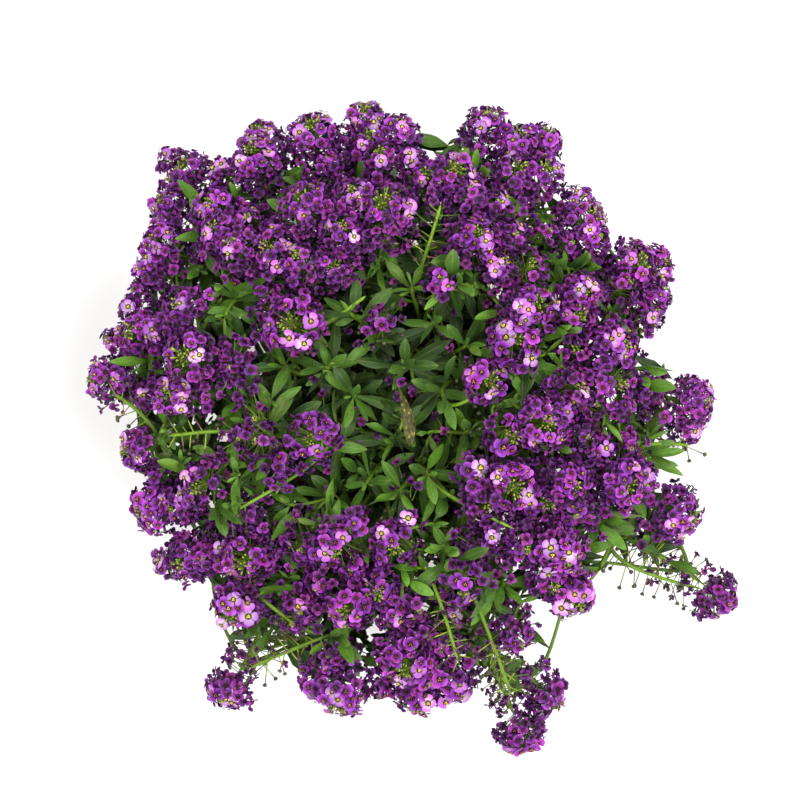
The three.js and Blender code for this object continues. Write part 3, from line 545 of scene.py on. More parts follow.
class Crowd:
    """Balls that stand for what is placed, with the heads, soil and rim that nothing may meet"""

    def __init__(self, heads):
        self.heads = heads
        self.head_spots = np.array([head.centre for head in heads])
        self.head_radii = np.array([head.radius for head in heads])
        self.spots = np.zeros((0, 3))
        self.radii = np.zeros(0)
        self.owners = np.zeros(0, int)
        self.keys = np.zeros(0, int)

    def add(self, points, radii, owner, key):
        self.spots = np.vstack([self.spots, points])
        self.radii = np.append(self.radii, radii)
        self.owners = np.append(self.owners, [owner] * len(points))
        self.keys = np.append(self.keys, [key] * len(points))

    def rooms(self, runs, radii, owner, rooted, bearer, own_head):
        """Least gap round each of several runs of balls, given as an array of points"""
        radii = np.asarray(radii, float)
        floor = lowest_at(np.hypot(runs[..., 0], runs[..., 1]))
        least = (runs[..., 2] - radii - floor).min(axis=1)
        low, high = runs.min(axis=(0, 1)) - 5, runs.max(axis=(0, 1)) + 5
        for spots, sizes, shut in (
            (self.head_spots, self.head_radii, self.shut_heads(own_head)),
            (self.spots, self.radii, None),
        ):
            near = ((spots + sizes[:, None] > low) & (spots - sizes[:, None] < high)).all(axis=1)
            if shut is not None:
                near &= ~shut
            if not near.any():
                continue
            gaps = np.linalg.norm(runs[:, :, None] - spots[near][None, None], axis=3)
            gaps = gaps - radii[None, :, None] - sizes[near][None, None]
            if shut is None:
                kin = self.owners[near] == owner
                counted = np.arange(runs.shape[1])[:, None] >= rooted
                counted = counted & (self.keys[near] != bearer)[None]
                gaps = np.where(~kin[None, None] | counted[None], gaps, np.inf)
            least = np.minimum(least, gaps.min(axis=(1, 2)))
        return least

    def shut_heads(self, own_head):
        return np.array([head is own_head for head in self.heads])


CURVE_WEIGHTS = weights_at(np.linspace(0, 1, CURVE_SAMPLES + 1))


class Garden:
    """Everything grown so far, with a fresh key for every rod"""

    def __init__(self, heads):
        self.heads = heads
        self.crowd = Crowd(heads)
        self.keys = 0

    def clearest(self, batches, radius, owner, own_head):
        """The first of the curves with room all round it, or else the one with most room"""
        best, best_room = None, -math.inf
        radii = np.full(CURVE_SAMPLES + 1, float(radius))
        for corners in batches:
            runs = np.einsum("sk,nkc->nsc", CURVE_WEIGHTS, np.array(corners))
            rooms = self.crowd.rooms(runs, radii, owner, CURVE_ROOTED, -2, own_head)
            clear = np.nonzero(rooms >= PIECE_GAP)[0]
            pick = int(clear[0]) if len(clear) else int(np.argmax(rooms))
            if rooms[pick] > best_room:
                best, best_room = corners[pick], rooms[pick]
            if len(clear):
                break
        self.keys += 1
        return Course(best, self.keys), best_room

    def keep(self, course, radius, owner):
        points = course.run(CURVE_SAMPLES + 1)
        self.crowd.add(points, [radius] * len(points), owner, course.key)


class Leaf:
    """Where a leaf leaves its stem, its widest place, its tip and its width"""

    def __init__(self, root, middle, tip, width):
        self.root = root
        self.middle = middle
        self.tip = tip
        self.width = width
        self.dry = False


class Spray:
    """One branch of the plant: its stem, stalks, shoots, leaves and bare pedicels"""

    def __init__(self, index, own, stem):
        self.index = index
        self.own = own
        self.stem = stem
        self.used = []
        self.stalks = []
        self.shoots = []
        self.leaves = []
        self.pedicels = []


def nearest_spray(point):
    turn = (math.atan2(point[1], point[0]) + 2 * math.pi) % (2 * math.pi)
    return min(SPRAYS - 1, int(turn / (2 * math.pi) * SPRAYS))


def branch_start(index):
    azimuth = (index + 0.5) * 2 * math.pi / SPRAYS
    level = BRANCH_LEVEL + (-BRANCH_STAGGER if index % 2 == 0 else BRANCH_STAGGER)
    return polar(BRANCH_START, azimuth, level)


def grow_stem(index, target, garden):
    start = branch_start(index)
    out = outward_of(start)
    side = np.array([-out[1], out[0], 0.0])
    options = [
        [
            start,
            start + out * STEM_RUN + UP * rise,
            target.base - target.axis * STEM_RUN + side * swing + UP * dip,
            target.base,
        ]
        for rise in STEM_RISES
        for swing in STEM_SWINGS
        for dip in STEM_DIPS
    ]
    stem, _ = garden.clearest([options], STEM_RADIUS, index, target)
    garden.keep(stem, STEM_RADIUS, index)
    return stem


def stem_place(stem, used, reach):
    best, best_gap = None, math.inf
    for step in range(FIRST_FOOT, LAST_FOOT + 1):
        place = step / FOOT_STEPS
        gap = abs(reach_of(stem.point(place)) - reach)
        if gap < best_gap and not any(abs(other - place) < FOOT_GAP for other in used):
            best, best_gap = place, gap
    return best


def grow_stalk(spray, end, along, back, garden, head):
    reach = reach_of(end)
    batches, places = [], []
    for shift in STALK_SHIFTS:
        place = stem_place(spray.stem, spray.used, max(FOOT_NEAREST, reach - back + shift))
        foot = spray.stem.point(place)
        tangent = spray.stem.heading(place)
        side = unit(np.array([-tangent[1], tangent[0], 0.0]))
        first = foot + tangent * STALK_ONWARD + UP * STALK_UPWARD
        places.append(place)
        batches.append([
            [
                foot,
                first + side * (sway * STALK_FIRST_SWAY),
                end - along * run + side * sway + UP * dip,
                end,
            ]
            for sway in STALK_SWAYS
            for run, dip in STALK_ARRIVALS
        ])
    stalk, room = garden.clearest(batches, STALK_RADIUS, spray.index, head)
    if room < TIGHT_ROOM:
        return None
    feet = np.array([batch[0][0] for batch in batches])
    stalk.place = places[int(np.argmin(np.linalg.norm(feet - stalk.corners[0], axis=1)))]
    garden.keep(stalk, STALK_RADIUS, spray.index)
    spray.used.append(stalk.place)
    return stalk


def grow_leaf(spray, bearer, place, turn, lift, length, width, garden):
    root = bearer.point(place)
    stem_along = bearer.heading(place)
    for attempt in range(LEAF_TRIES):
        along = slant(stem_along, turn + attempt * LEAF_RETURN, lift)
        middle = root + along * (length * LEAF_WIDEST) + UP * LEAF_ARCH
        tip = root + along * length - UP * (LEAF_DROOP * length)
        run = np.array([root + (middle - root) * LEAF_RUN_START, middle, (middle + tip) / 2, tip])
        radii = [width * share for share in LEAF_RUN_SHARES] + [LEAF_TIP_RADIUS]
        room = garden.crowd.rooms(run[None], radii, spray.index, 1, bearer.key, None)[0]
        if room >= PIECE_GAP:
            garden.crowd.add(run, radii, spray.index, -1)
            spray.leaves.append(Leaf(root, middle, tip, width))
            return


def leaves_along(spray, bearer, places, draw, garden):
    turn = draw() * 2 * math.pi
    for place in places:
        turn += GOLDEN_ANGLE
        length = LEAF_LENGTH * between(STEM_LEAF_LENGTHS, draw())
        width = LEAF_WIDTH * between(STEM_LEAF_WIDTHS, draw())
        grow_leaf(spray, bearer, place, turn, STEM_LEAF_LIFT, length, width, garden)


def rosette(spray, bearer, draw, garden):
    turn = draw() * 2 * math.pi
    for i in range(SHOOT_LEAVES):
        turn += GOLDEN_ANGLE
        along = i / (SHOOT_LEAVES - 1)
        length = LEAF_LENGTH * between(SHOOT_LEAF_LENGTHS, along) * between(SHOOT_LEAF_VARIES, draw())
        width = LEAF_WIDTH * between(SHOOT_LEAF_WIDTHS, along)
        place, lift = between(SHOOT_LEAF_PLACES, along), between(SHOOT_LEAF_LIFTS, along)
        grow_leaf(spray, bearer, place, turn, lift, length, width, garden)


def spare_pedicels(spray, bearer, head, draw, garden):
    turn = draw() * 2 * math.pi
    walked, following, left = 0.0, head.radius * PEDICEL_START, head.spent
    for i in range(WALK_SAMPLES, 0, -1):
        if left <= 0:
            break
        here = bearer.point(i / WALK_SAMPLES)
        walked += np.linalg.norm(here - bearer.point((i - 1) / WALK_SAMPLES))
        if walked < following:
            continue
        following += PEDICEL_SPACING
        left -= 1
        turn += GOLDEN_ANGLE
        along = bearer.heading(i / WALK_SAMPLES)
        direction = unit(spoke(along, turn) + along * PEDICEL_LIFT)
        tip = here + direction * (PEDICEL_LENGTH * between(PEDICEL_VARIES, draw()))
        run = np.array([(here + tip) / 2, tip])
        radii = [PEDICEL_RADIUS, KNOB_RADIUS]
        room = garden.crowd.rooms(run[None], radii, spray.index, 0, bearer.key, None)[0]
        if room >= PEDICEL_GAP:
            garden.crowd.add(run, radii, spray.index, -1)
            spray.pedicels.append((here, tip))


def is_stalked(head):
    return head.parent < 0 or head.radius >= STALKED_HEAD or head.spent > 0


def grow_sprays(heads):
    garden = Garden(heads)
    sprays = []
    for index in range(SPRAYS):
        own = [head for head in heads if is_stalked(head) and nearest_spray(head.centre) == index]
        own.sort(key=lambda head: -reach_of(head.centre))
        stem = grow_stem(index, own[0], garden)
        own[0].course = stem
        sprays.append(Spray(index, own, stem))
    for spray in sprays:
        rest = spray.own[1:]
        leading = [head for head in rest if head.parent < 0]
        for head in leading + [other for other in rest if other.parent >= 0]:
            stalk = grow_stalk(spray, head.base, head.axis, STALK_BACK, garden, head)
            if stalk:
                head.course = stalk
                spray.stalks.append((stalk, head))
    for plan_x, plan_y, below in SHOOTS:
        tip = from_plan(plan_x, plan_y, below)
        spray = sprays[nearest_spray(tip)]
        lean = unit(outward_of(tip) * SHOOT_LEAN + UP)
        shoot = grow_stalk(spray, tip, lean, SHOOT_BACK, garden, None)
        if shoot:
            spray.shoots.append(shoot)
    for spray in sprays:
        draw = draws_from(PLAN_SPRAY_SEED + spray.index)
        for bearer, head in [(spray.stem, spray.own[0])] + spray.stalks:
            spare_pedicels(spray, bearer, head, draw, garden)
        for shoot in spray.shoots:
            rosette(spray, shoot, draw, garden)
        leaves_along(spray, spray.stem, STEM_LEAF_PLACES, draw, garden)
        for stalk, _ in spray.stalks:
            leaves_along(spray, stalk, STALK_LEAF_PLACES, draw, garden)
    return sprays


# Forms that are repeated, and the sculpting of a piece from many copies

MARKS = ("reach", "edge", "age", "tone")
TILE_EDGE = 0.06


class Form:
    """Faces of a small shape that is repeated, with their corners laid out flat in a unit square"""

    def __init__(self, size, parts):
        self.size = size
        self.parts = parts


def in_cell(corner, flats):
    """Flat places in a unit square, moved into the cell at a corner, with a free edge round it"""
    return corner + TILE_EDGE + flats * (1 - 2 * TILE_EDGE)


def grid_form(rows, columns, closed=False):
    """Rows of points joined by quads, and round into a tube where closed"""
    wide = columns if closed else columns - 1
    row, column = (part.ravel() for part in np.indices((rows - 1, wide)))
    following = (column + 1) % columns
    faces = np.stack([
        row * columns + column,
        row * columns + following,
        (row + 1) * columns + following,
        (row + 1) * columns + column,
    ], axis=1)
    flats = np.stack([
        np.stack([column, column + 1, column + 1, column], axis=1) / wide,
        np.stack([row, row, row + 1, row + 1], axis=1) / (rows - 1),
    ], axis=2)
    return Form(rows * columns, [(faces, flats)])


def fan_form(sides):
    """A middle point, which comes first, joined to a ring"""
    ring = np.arange(sides)
    faces = np.stack([np.zeros(sides, int), 1 + ring, 1 + (ring + 1) % sides], axis=1)
    angles = even_turns(sides)
    rim = 0.5 + 0.5 * np.stack([np.cos(angles), np.sin(angles)], axis=1)
    flats = np.stack([np.full((sides, 2), 0.5), rim, np.roll(rim, -1, axis=0)], axis=1)
    return Form(sides + 1, [(faces, flats)])


def tiled_form(forms, columns, rows):
    """Several forms in one, each with its own tile of the flat layout"""
    size, parts = 0, []
    for number, form in enumerate(forms):
        corner = np.array([number % columns, number // columns])
        for faces, flats in form.parts:
            parts.append((faces + size, in_cell(corner, flats) / (columns, rows)))
        size += form.size
    return Form(size, parts)


class Sculpt:
    """Points and faces of one piece, gathered form by form"""

    def __init__(self):
        self.count = 0
        self.cells = 0
        self.points = []
        self.marks = []
        self.faces = []
        self.flats = []
        self.places = []
        self.finishes = []

    def add(self, form, points, finish, marks):
        """Copies of a form: points is copies by form points by 3, marks the same by the four marks"""
        copies = len(points)
        if not copies:
            return
        starts = self.count + form.size * np.arange(copies)
        cells = self.cells + np.arange(copies)
        for faces, flats in form.parts:
            self.faces.append((faces[None] + starts[:, None, None]).reshape(-1, faces.shape[1]))
            self.flats.append(np.tile(flats, (copies, 1, 1)))
            self.places.append(np.repeat(cells, len(faces)))
            self.finishes.append(np.full(copies * len(faces), finish))
        self.points.append(points.reshape(-1, 3))
        self.marks.append(marks.reshape(-1, len(MARKS)))
        self.count += copies * form.size
        self.cells += copies

    def layout(self):
        """Flat places of all face corners: one square cell for each copy"""
        side = math.ceil(math.sqrt(self.cells))
        spots = []
        for flats, cells in zip(self.flats, self.places):
            corner = np.stack([cells % side, cells // side], axis=1)[:, None]
            spots.append((in_cell(corner, flats) / side).reshape(-1, 2))
        return np.concatenate(spots)

    def build(self, name, slot, materials, *nodes):
        mesh = bpy.data.meshes.new(name)
        points = np.concatenate(self.points) * MM
        corners = np.concatenate([faces.ravel() for faces in self.faces])
        counts = np.concatenate([np.full(len(faces), faces.shape[1]) for faces in self.faces])
        mesh.vertices.add(len(points))
        mesh.vertices.foreach_set("co", points.ravel().astype(np.float32))
        mesh.loops.add(len(corners))
        mesh.loops.foreach_set("vertex_index", corners.astype(np.int32))
        mesh.polygons.add(len(counts))
        starts = np.concatenate([[0], np.cumsum(counts)[:-1]])
        mesh.polygons.foreach_set("loop_start", starts.astype(np.int32))
        mesh.polygons.foreach_set("material_index", np.concatenate(self.finishes).astype(np.int32))
        mesh.polygons.foreach_set("use_smooth", np.ones(len(counts), bool))
        mesh.update(calc_edges=True)
        flat = mesh.uv_layers.new(name="OFBake")
        flat.uv.foreach_set("vector", self.layout().ravel().astype(np.float32))
        marks = np.concatenate(self.marks)
        for number, mark in enumerate(MARKS):
            values = mesh.attributes.new(mark, "FLOAT", "POINT")
            values.data.foreach_set("value", marks[:, number].astype(np.float32))
        for material in materials:
            mesh.materials.append(material)
        dress(name, mesh, slot, *nodes)


def link(name, content):
    """A new object in the scene"""
    thing = bpy.data.objects.new(name, content)
    bpy.context.scene.collection.objects.link(thing)
    return thing


def dress(name, mesh, slot, *nodes):
    """A finished mesh becomes a piece that stands for its solids"""
    piece = link(name, mesh)
    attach(piece, "root")
    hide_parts(*nodes)


def add_rows(sculpt, rows):
    """One closed skin over rings of points"""
    form = grid_form(*rows.shape[:2], closed=True)
    sculpt.add(form, rows.reshape(1, -1, 3), 0, marked((1, form.size)))


def marked(shape, reach=0.0, edge=0.0, age=0.0, tone=0.0):
    """The four marks of every point, each given as one value or an array that fits the shape"""
    marks = np.empty(shape + (len(MARKS),))
    for number, value in enumerate((reach, edge, age, tone)):
        marks[..., number] = value
    return marks


# Thin tubes, straight ones by the hundred and curved ones one by one

TUBE_POINT = 0.05


def tube_points(starts, ends, rings, sides):
    """Straight tubes. Each ring is (share of the way, radius)."""
    shares, radii = np.array(rings).T
    circle = circles(*cross_axes_of_all(units(ends - starts)), sides)
    centres = starts[:, None] + (ends - starts)[:, None] * shares[:, None]
    points = centres[:, :, None] + circle[:, None] * radii[:, None, None]
    return points.reshape(len(starts), -1, 3)


def course_points(course, ends, rings, sides):
    """A tube along a curve that tapers between two radii and closes to a point at its end"""
    shares = np.linspace(0, 1, rings)
    centres = course.points(shares)
    along = units(np.gradient(centres, axis=0))
    level = np.cross(course.corners[3] - course.corners[0], UP)
    level = unit(level) if np.linalg.norm(level) > 1e-6 else np.array([1.0, 0.0, 0.0])
    side = units(level - along * (along @ level)[:, None])
    radii = ends[0] + (ends[1] - ends[0]) * shares
    radii[-1] = TUBE_POINT
    circle = circles(side, np.cross(along, side), sides)
    return (centres[:, None] + circle * radii[:, None, None]).reshape(1, -1, 3), shares


# Florets: four broad petals round a small heart with anthers, on a thin pedicel

PETAL_ROWS = ((0.1, 0.2), (0.36, 0.62), (0.64, 1.0), (0.87, 0.88), (1.0, 0.4))
SPENT_ROWS = ((0.12, 0.24), (0.64, 1.0), (1.0, 0.42))
PETAL_COLUMNS = (-1.0, 0.0, 1.0)
PETAL_HALF_WIDTH = 0.52
PETAL_ROUNDING = 0.04
PETALS = 4
PETAL_TURN_SPREAD = 0.09
PETAL_TONE_SPREAD = 0.16

# How a petal's form goes with age: its value while fresh, the growth past an age, that age, the
# span it goes on for, the power that it grows by, and the spread from petal to petal
PETAL_CUP = (0.12, 0.6, 0.5, 0.8, 1.5, 0.14)
PETAL_BOW = (-0.14, 0.32, 0.6, 1.0, 1, 0.08)
PETAL_SHRINK = (1.0, -0.25, 1.0, 0.6, 1, 0.06)
PETAL_CURL = (0.12, 0.6, 0.8, 0.8, 1, 0.06)
PETAL_CURL_SIDEWAYS = 1.6
PETAL_ROLL = (0.24, 0.2)

HEART_SIDES = 6
HEART_RADIUS = 0.38
HEART_RISE = 0.16
HEART_RIM_RISE = 0.224
ANTHERS = 3
ANTHER_RING = 0.15
ANTHER_SIZE = 0.12
ANTHER_FOOT = 0.24
ANTHER_TIP = 0.18
PEDICEL_SIDES = 3
PEDICEL_RINGS = ((0.0, 0.24), (0.84, 0.22), (1.0, 0.75))
FRESH_LENGTH = 2.65
OLD_LENGTH = 1.85
LENGTH_SPREAD = 0.08
SPENT_AGE = 0.75
OLDEST_AGE = 1.4


class FloretKind:
    """How finely a floret is made: its rows of petal points and how many anthers it shows"""

    def __init__(self, rows, anthers):
        self.rows = rows
        self.anthers = anthers
        petal = grid_form(len(rows), len(PETAL_COLUMNS))
        tiles = [petal] * PETALS + [fan_form(HEART_SIDES)] + [fan_form(3)] * anthers
        self.form = tiled_form(tiles, 3, 2 + (anthers > 1))


OPEN_FLORET = FloretKind(PETAL_ROWS, ANTHERS)
SPENT_FLORET = FloretKind(SPENT_ROWS, 0)
PEDICEL_FORM = grid_form(len(PEDICEL_RINGS), PEDICEL_SIDES, closed=True)

# Marks that tell a heart and an anther from a petal
HEART_MARK = -1.0
ANTHER_MARK = -2.0


class Posy:
    """Places of many florets: where each stands, faces and is rooted, how old it is and its size"""

    def __init__(self):
        self.rows = []

    def add(self, centre, normal, root, age, size=1.0):
        self.rows.append((centre, normal, root, min(max(0.0, age), OLDEST_AGE), size))

    def columns(self):
        return [np.array(column) for column in zip(*self.rows)]


def petal_points(rows, centres, side, other, normals, lengths, ages, draw):
    """Petals spread flat while fresh, and cup and shrivel with age"""
    count = len(centres)

    def varied(middle, spread):
        return middle + draw.normal(0, spread, (count, PETALS))

    def aged(law):
        fresh, growth, start, span, power, spread = law
        return varied(fresh + growth * np.clip(old - start, 0, span) ** power, spread)

    old = ages[:, None]
    turns = varied(draw.uniform(0, 2 * math.pi, (count, 1)) + even_turns(PETALS), PETAL_TURN_SPREAD)
    cup, bow = aged(PETAL_CUP), aged(PETAL_BOW)
    roll = varied(*PETAL_ROLL)
    shrink, curl = aged(PETAL_SHRINK), aged(PETAL_CURL)
    shares, halves = np.array(rows).T[..., None]
    columns = np.array(PETAL_COLUMNS)[None]
    along = (shares - PETAL_ROUNDING * shares * columns**2).ravel()
    aside = (halves * columns * PETAL_HALF_WIDTH).ravel()
    length = (lengths[:, None] * shrink)[..., None]
    rise = cup[..., None] * along + bow[..., None] * along**2
    rise = rise + roll[..., None] * aside - curl[..., None] * aside**2 * PETAL_CURL_SIDEWAYS
    out = np.cos(turns)[..., None] * side[:, None] + np.sin(turns)[..., None] * other[:, None]
    broad = np.cross(normals[:, None], out)
    points = centres[:, None, None] + out[:, :, None] * (length * along)[..., None]
    points = points + broad[:, :, None] * (length * aside)[..., None]
    points = points + normals[:, None, None] * (length * rise)[..., None]
    tones = np.clip(varied(draw.uniform(0, 1, (count, 1)), PETAL_TONE_SPREAD), 0, 1)[..., None]
    reach = np.repeat(shares.ravel(), len(PETAL_COLUMNS))
    edge = np.tile(np.array(PETAL_COLUMNS), len(rows))
    marks = marked(points.shape[:3], reach, edge, old[..., None], tones)
    return points.reshape(count, -1, 3), marks.reshape(count, -1, len(MARKS))


def heart_points(centres, side, other, normals, lengths):
    radii = (lengths * HEART_RADIUS)[:, None, None]
    ring = centres[:, None] + circles(side, other, HEART_SIDES) * radii
    middle = centres + normals * (lengths * HEART_RISE)[:, None]
    ring = ring + normals[:, None] * (lengths * HEART_RIM_RISE)[:, None, None]
    return np.concatenate([middle[:, None], ring], axis=1)


def anther_points(anthers, centres, side, other, normals, lengths):
    """Small pointed anthers that stand in a ring over the heart"""
    sizes = lengths[:, None]
    points = [np.zeros((len(centres), 0, 3))]
    for turn in even_turns(anthers):
        way = math.cos(turn) * side + math.sin(turn) * other
        foot = centres + way * (sizes * ANTHER_RING) + normals * (sizes * ANTHER_FOOT)
        points.append((foot + normals * (sizes * ANTHER_TIP))[:, None])
        for corner in even_turns(3):
            leg = math.cos(turn + corner) * side + math.sin(turn + corner) * other
            points.append((foot + leg * (sizes * ANTHER_SIZE))[:, None])
    return np.concatenate(points, axis=1)


def kept_inside(points, *others):
    """Copies that pass the solids' box are shifted back into it, with what belongs to them"""
    over = np.maximum(points.max(axis=1) - BOX_HIGH, 0) + np.minimum(points.min(axis=1) - BOX_LOW, 0)
    return [part - over[:, None] for part in (points, *others)]


def add_florets(sculpt, posy, draw):
    """Open florets in full, and spent ones more plainly"""
    columns = posy.columns()
    spent = columns[3] >= SPENT_AGE
    for kind, chosen in ((OPEN_FLORET, ~spent), (SPENT_FLORET, spent)):
        if chosen.any():
            add_kind(sculpt, kind, [column[chosen] for column in columns], draw)


def add_kind(sculpt, kind, columns, draw):
    centres, normals, roots, ages, sizes = columns
    normals = units(normals)
    count = len(centres)
    young = np.clip(1 - ages, 0, 1)
    lengths = OLD_LENGTH + (FRESH_LENGTH - OLD_LENGTH) * young
    lengths = lengths * draw.normal(1, LENGTH_SPREAD, count) * sizes
    side, other = cross_axes_of_all(normals)
    petals, petal_marks = petal_points(kind.rows, centres, side, other, normals, lengths, ages, draw)
    hearts = heart_points(centres, side, other, normals, lengths)
    anthers = anther_points(kind.anthers, centres, side, other, normals, lengths)
    stalks = tube_points(roots, centres - normals * 0.1, PEDICEL_RINGS, PEDICEL_SIDES)
    flowers = np.concatenate([petals, hearts, anthers], axis=1)
    flowers, stalks = kept_inside(flowers, stalks)
    heart_rim = np.arange(HEART_SIDES + 1) > 0
    tones = draw.uniform(0, 1, count)[:, None]
    marks = np.concatenate([
        petal_marks,
        marked(hearts.shape[:2], HEART_MARK, heart_rim[None], ages[:, None], tones),
        marked(anthers.shape[:2], ANTHER_MARK, 0, ages[:, None], tones),
    ], axis=1)
    sculpt.add(kind.form, flowers, 0, marks)
    along = np.repeat([share for share, _ in PEDICEL_RINGS], PEDICEL_SIDES)
    sculpt.add(PEDICEL_FORM, stalks, 1, marked(stalks.shape[:2], along[None], 0, ages[:, None], tones))


# Buds and seed pods: small spindles on pedicels

BUD_COUNT = (8, 40)
BUD_FOOT = 0.4
BUD_FOOT_RADIUS = 0.4
BUD_TILT = (0.8, 1.25)
BUD_TURN_SPREAD = 0.4
BUD_REACH = (0.74, 1.04)
BUD_RINGS = ((0.0, 0.2), (0.66, 0.18), (0.78, 0.42), (0.9, 0.5), (1.0, 0.05))
KNOB_RINGS = ((0.0, 0.24), (0.84, 0.22), (0.88, 0.75), (0.95, 0.95), (1.0, 0.1))
BUD_SIDES = 3
KNOB_SIDES = 5
BUD_MARK = 1.0
KNOB_MARK = 2.0


def add_buds(sculpt, roots, tips, rings, sides, mark, draw):
    if not len(roots):
        return
    points = tube_points(np.array(roots), np.array(tips), rings, sides)
    points = kept_inside(points)[0]
    along = np.repeat([share for share, _ in rings], sides)
    swollen = np.repeat([mark * (share > 0.7) for share, _ in rings], sides)
    tones = draw.uniform(0, 1, len(points))[:, None]
    form = grid_form(len(rings), sides, closed=True)
    sculpt.add(form, points, 1, marked(points.shape[:2], along[None], swollen[None], 0.5, tones))


# Where florets and buds stand on a head and down its stalk

HIDDEN_SHARE = 0.68
DOME_EDGE = math.radians(118)
OLD_TILT = math.radians(96)
BUD_EDGE = (0.26, 0.52)
TINY_BUD_EDGE = 0.18
FLORET_ROOM = 13.2
LEAST_FLORETS = 6
DOME_TILT_SPREAD = 0.07
DOME_TURN_SPREAD = 0.16
FACING_SPREAD = 0.34
DOME_SHARE = 0.88
DOME_SPREAD = 0.1
DOME_PROUDEST = 0.15
LOOSE_REACH = 46
LOOSE_SHARE = 0.82
LARGE_FLORET = 1.16
LARGE_FROM = 10
LARGE_RUN = 50
CLEARING_LOSS = 0.45
CLEARING_SKIRT_LOSS = 0.8
CLEARING_CARPET_DEPTH = 14
FIRST_AGE = 0.24
FRESH_AGE = 0.16
FRESH_BAND = 0.7
FRESH_CHANCE = 0.2
SUNK_DEPTH = 9
SUNK_AGE_AND_SHADE = 0.34
SUNK_FRESH_LOSS = 0.7
HEAD_AGE = (-0.04, 0.16)
GROWTH_YOUTH = 0.07
AGE_SPREAD = 0.1
ROOT_DEPTH = 0.4
PEDICEL_RANGE = (0.85, 1.12)
SKIRT_LENGTH = 13
SKIRT_RISE = (0.5, -0.6)
SKIRT_AGE = (0.72, 0.5)
SKIRT_FROM = 0.35
SKIRT_SPACING = 0.95
SKIRT_FLORETS = 14
SKIRT_LEAST_SHARE = 0.2
SKIRT_ROOM = 3
SKIRT_BARE_REACH = 28
SKIRT_FULL_REACH = 66
SKIRT_PEDICEL = 7.2
BRUSH_SPACING = 1.15
BRUSH_PEDICEL = 9.2
BRUSH_RISE = (0.3, 0.14)
BRUSH_LEAST_RUN = 10
BRUSH_END = 6
BRUSH_ROOM = 2
BRUSH_WITHERED = 0.55
BRUSH_WITHERED_LOSS = 0.8
PLAIN_BRUSH = 10
FULL_BRUSH = 4.2


def is_hidden(point, head):
    """Whether a point lies deep inside a head other than its own"""
    shares = np.linalg.norm(ALL_CENTRES - point, axis=1) / ALL_RADII
    shares[head.number] = np.inf
    return shares.min() < HIDDEN_SHARE


def head_gaps(point):
    """Gap from a point to each head, or seen from above where the point has no level"""
    return np.linalg.norm(ALL_CENTRES[:, :len(point)] - point, axis=1) - ALL_RADII


def is_apart(place, others, spacing):
    """Whether a place keeps its distance from all the others"""
    return all(np.linalg.norm(place - other) > spacing for other in others)


def nearest_to(point, spots):
    """Number of the spot that lies nearest to a point, and how far off it is"""
    ways = np.linalg.norm(spots - point, axis=1)
    return int(np.argmin(ways)), ways.min()


def floret_growth(head):
    """From 0 to 1: florets are larger in the loose heads of the middle and towards the near side"""
    if reach_of(head.centre) < LOOSE_REACH:
        return 1.0
    return min(1, max(0, (-head.centre[1] - LARGE_FROM) / LARGE_RUN))


def dome_way(head, tilt, turn):
    """Way from a head's centre to a place on its flattened dome"""
    return spoke(head.axis, turn) * math.sin(tilt) + head.axis * (HEAD_FLATNESS * math.cos(tilt))


def dome_posy(head, posy, draw):
    """Florets that are older the further they stand from the tip, with buds in the middle"""
    area = 2 * math.pi * head.radius**2 * (1 - math.cos(DOME_EDGE))
    loose = LOOSE_SHARE if reach_of(head.centre) < LOOSE_REACH else 1.0
    growth = floret_growth(head)
    size = 1 + (LARGE_FLORET - 1) * growth
    count = max(LEAST_FLORETS, round(area / (FLORET_ROOM * size**2) * loose))
    bud_edge = draw.uniform(*BUD_EDGE) if head.radius > TINY_HEAD else TINY_BUD_EDGE
    # Heads sunk below the mound's surface get older, darker florets and fewer pale fresh ones: partly
    # older growth, partly painted shade
    sunk = min(1, max(0, mound_height(reach_of(head.centre)) - head.centre[2]) / SUNK_DEPTH)
    head_age = draw.uniform(*HEAD_AGE) + SUNK_AGE_AND_SHADE * sunk - GROWTH_YOUTH * growth
    fresh_chance = FRESH_CHANCE * (1 - SUNK_FRESH_LOSS * sunk)
    for k in range(count):
        tilt = math.acos(1 - (1 - math.cos(DOME_EDGE)) * (k + 0.5) / count)
        tilt += draw.normal(0, DOME_TILT_SPREAD)
        if tilt < bud_edge:
            continue
        turn = k * GOLDEN_ANGLE + head.turn + draw.normal(0, DOME_TURN_SPREAD)
        way = dome_way(head, tilt, turn)
        share = DOME_SHARE + min(DOME_PROUDEST, draw.normal(0, DOME_SPREAD))
        centre = head.centre + way * (head.radius * share)
        if is_hidden(centre, head) or (in_clearing(centre) and draw.uniform() < CLEARING_LOSS):
            continue
        normal = unit(way) + head.axis * 0.2 + UP * 0.1 + draw.normal(0, FACING_SPREAD, 3)
        age = (tilt - bud_edge) / (OLD_TILT - bud_edge)
        age = FIRST_AGE + (1 - FIRST_AGE) * age * loose**2 + head_age + draw.normal(0, AGE_SPREAD)
        if tilt < bud_edge + FRESH_BAND and draw.uniform() < fresh_chance:
            age = draw.uniform(0, FRESH_AGE)
        root = head.centre - head.axis * (head.radius * ROOT_DEPTH * (1 - math.cos(tilt)))
        posy.add(centre, normal, root, age, size)
    return bud_edge


def add_bud_tuft(sculpt, head, bud_edge, draw):
    """Tight cluster of buds at the tip of a head"""
    count = round(between(BUD_COUNT, bud_edge))
    foot = head.centre + head.axis * (head.radius * BUD_FOOT)
    roots, tips = [], []
    for k in range(count):
        tilt = bud_edge * math.sqrt((k + 0.5) / count) * draw.uniform(*BUD_TILT)
        turn = k * GOLDEN_ANGLE + draw.normal(0, BUD_TURN_SPREAD)
        reach = head.radius * draw.uniform(*BUD_REACH)
        tips.append(head.centre + dome_way(head, tilt, turn) * reach)
        roots.append(foot + spoke(head.axis, turn) * BUD_FOOT_RADIUS)
    add_buds(sculpt, roots, tips, BUD_RINGS, BUD_SIDES, BUD_MARK, draw)


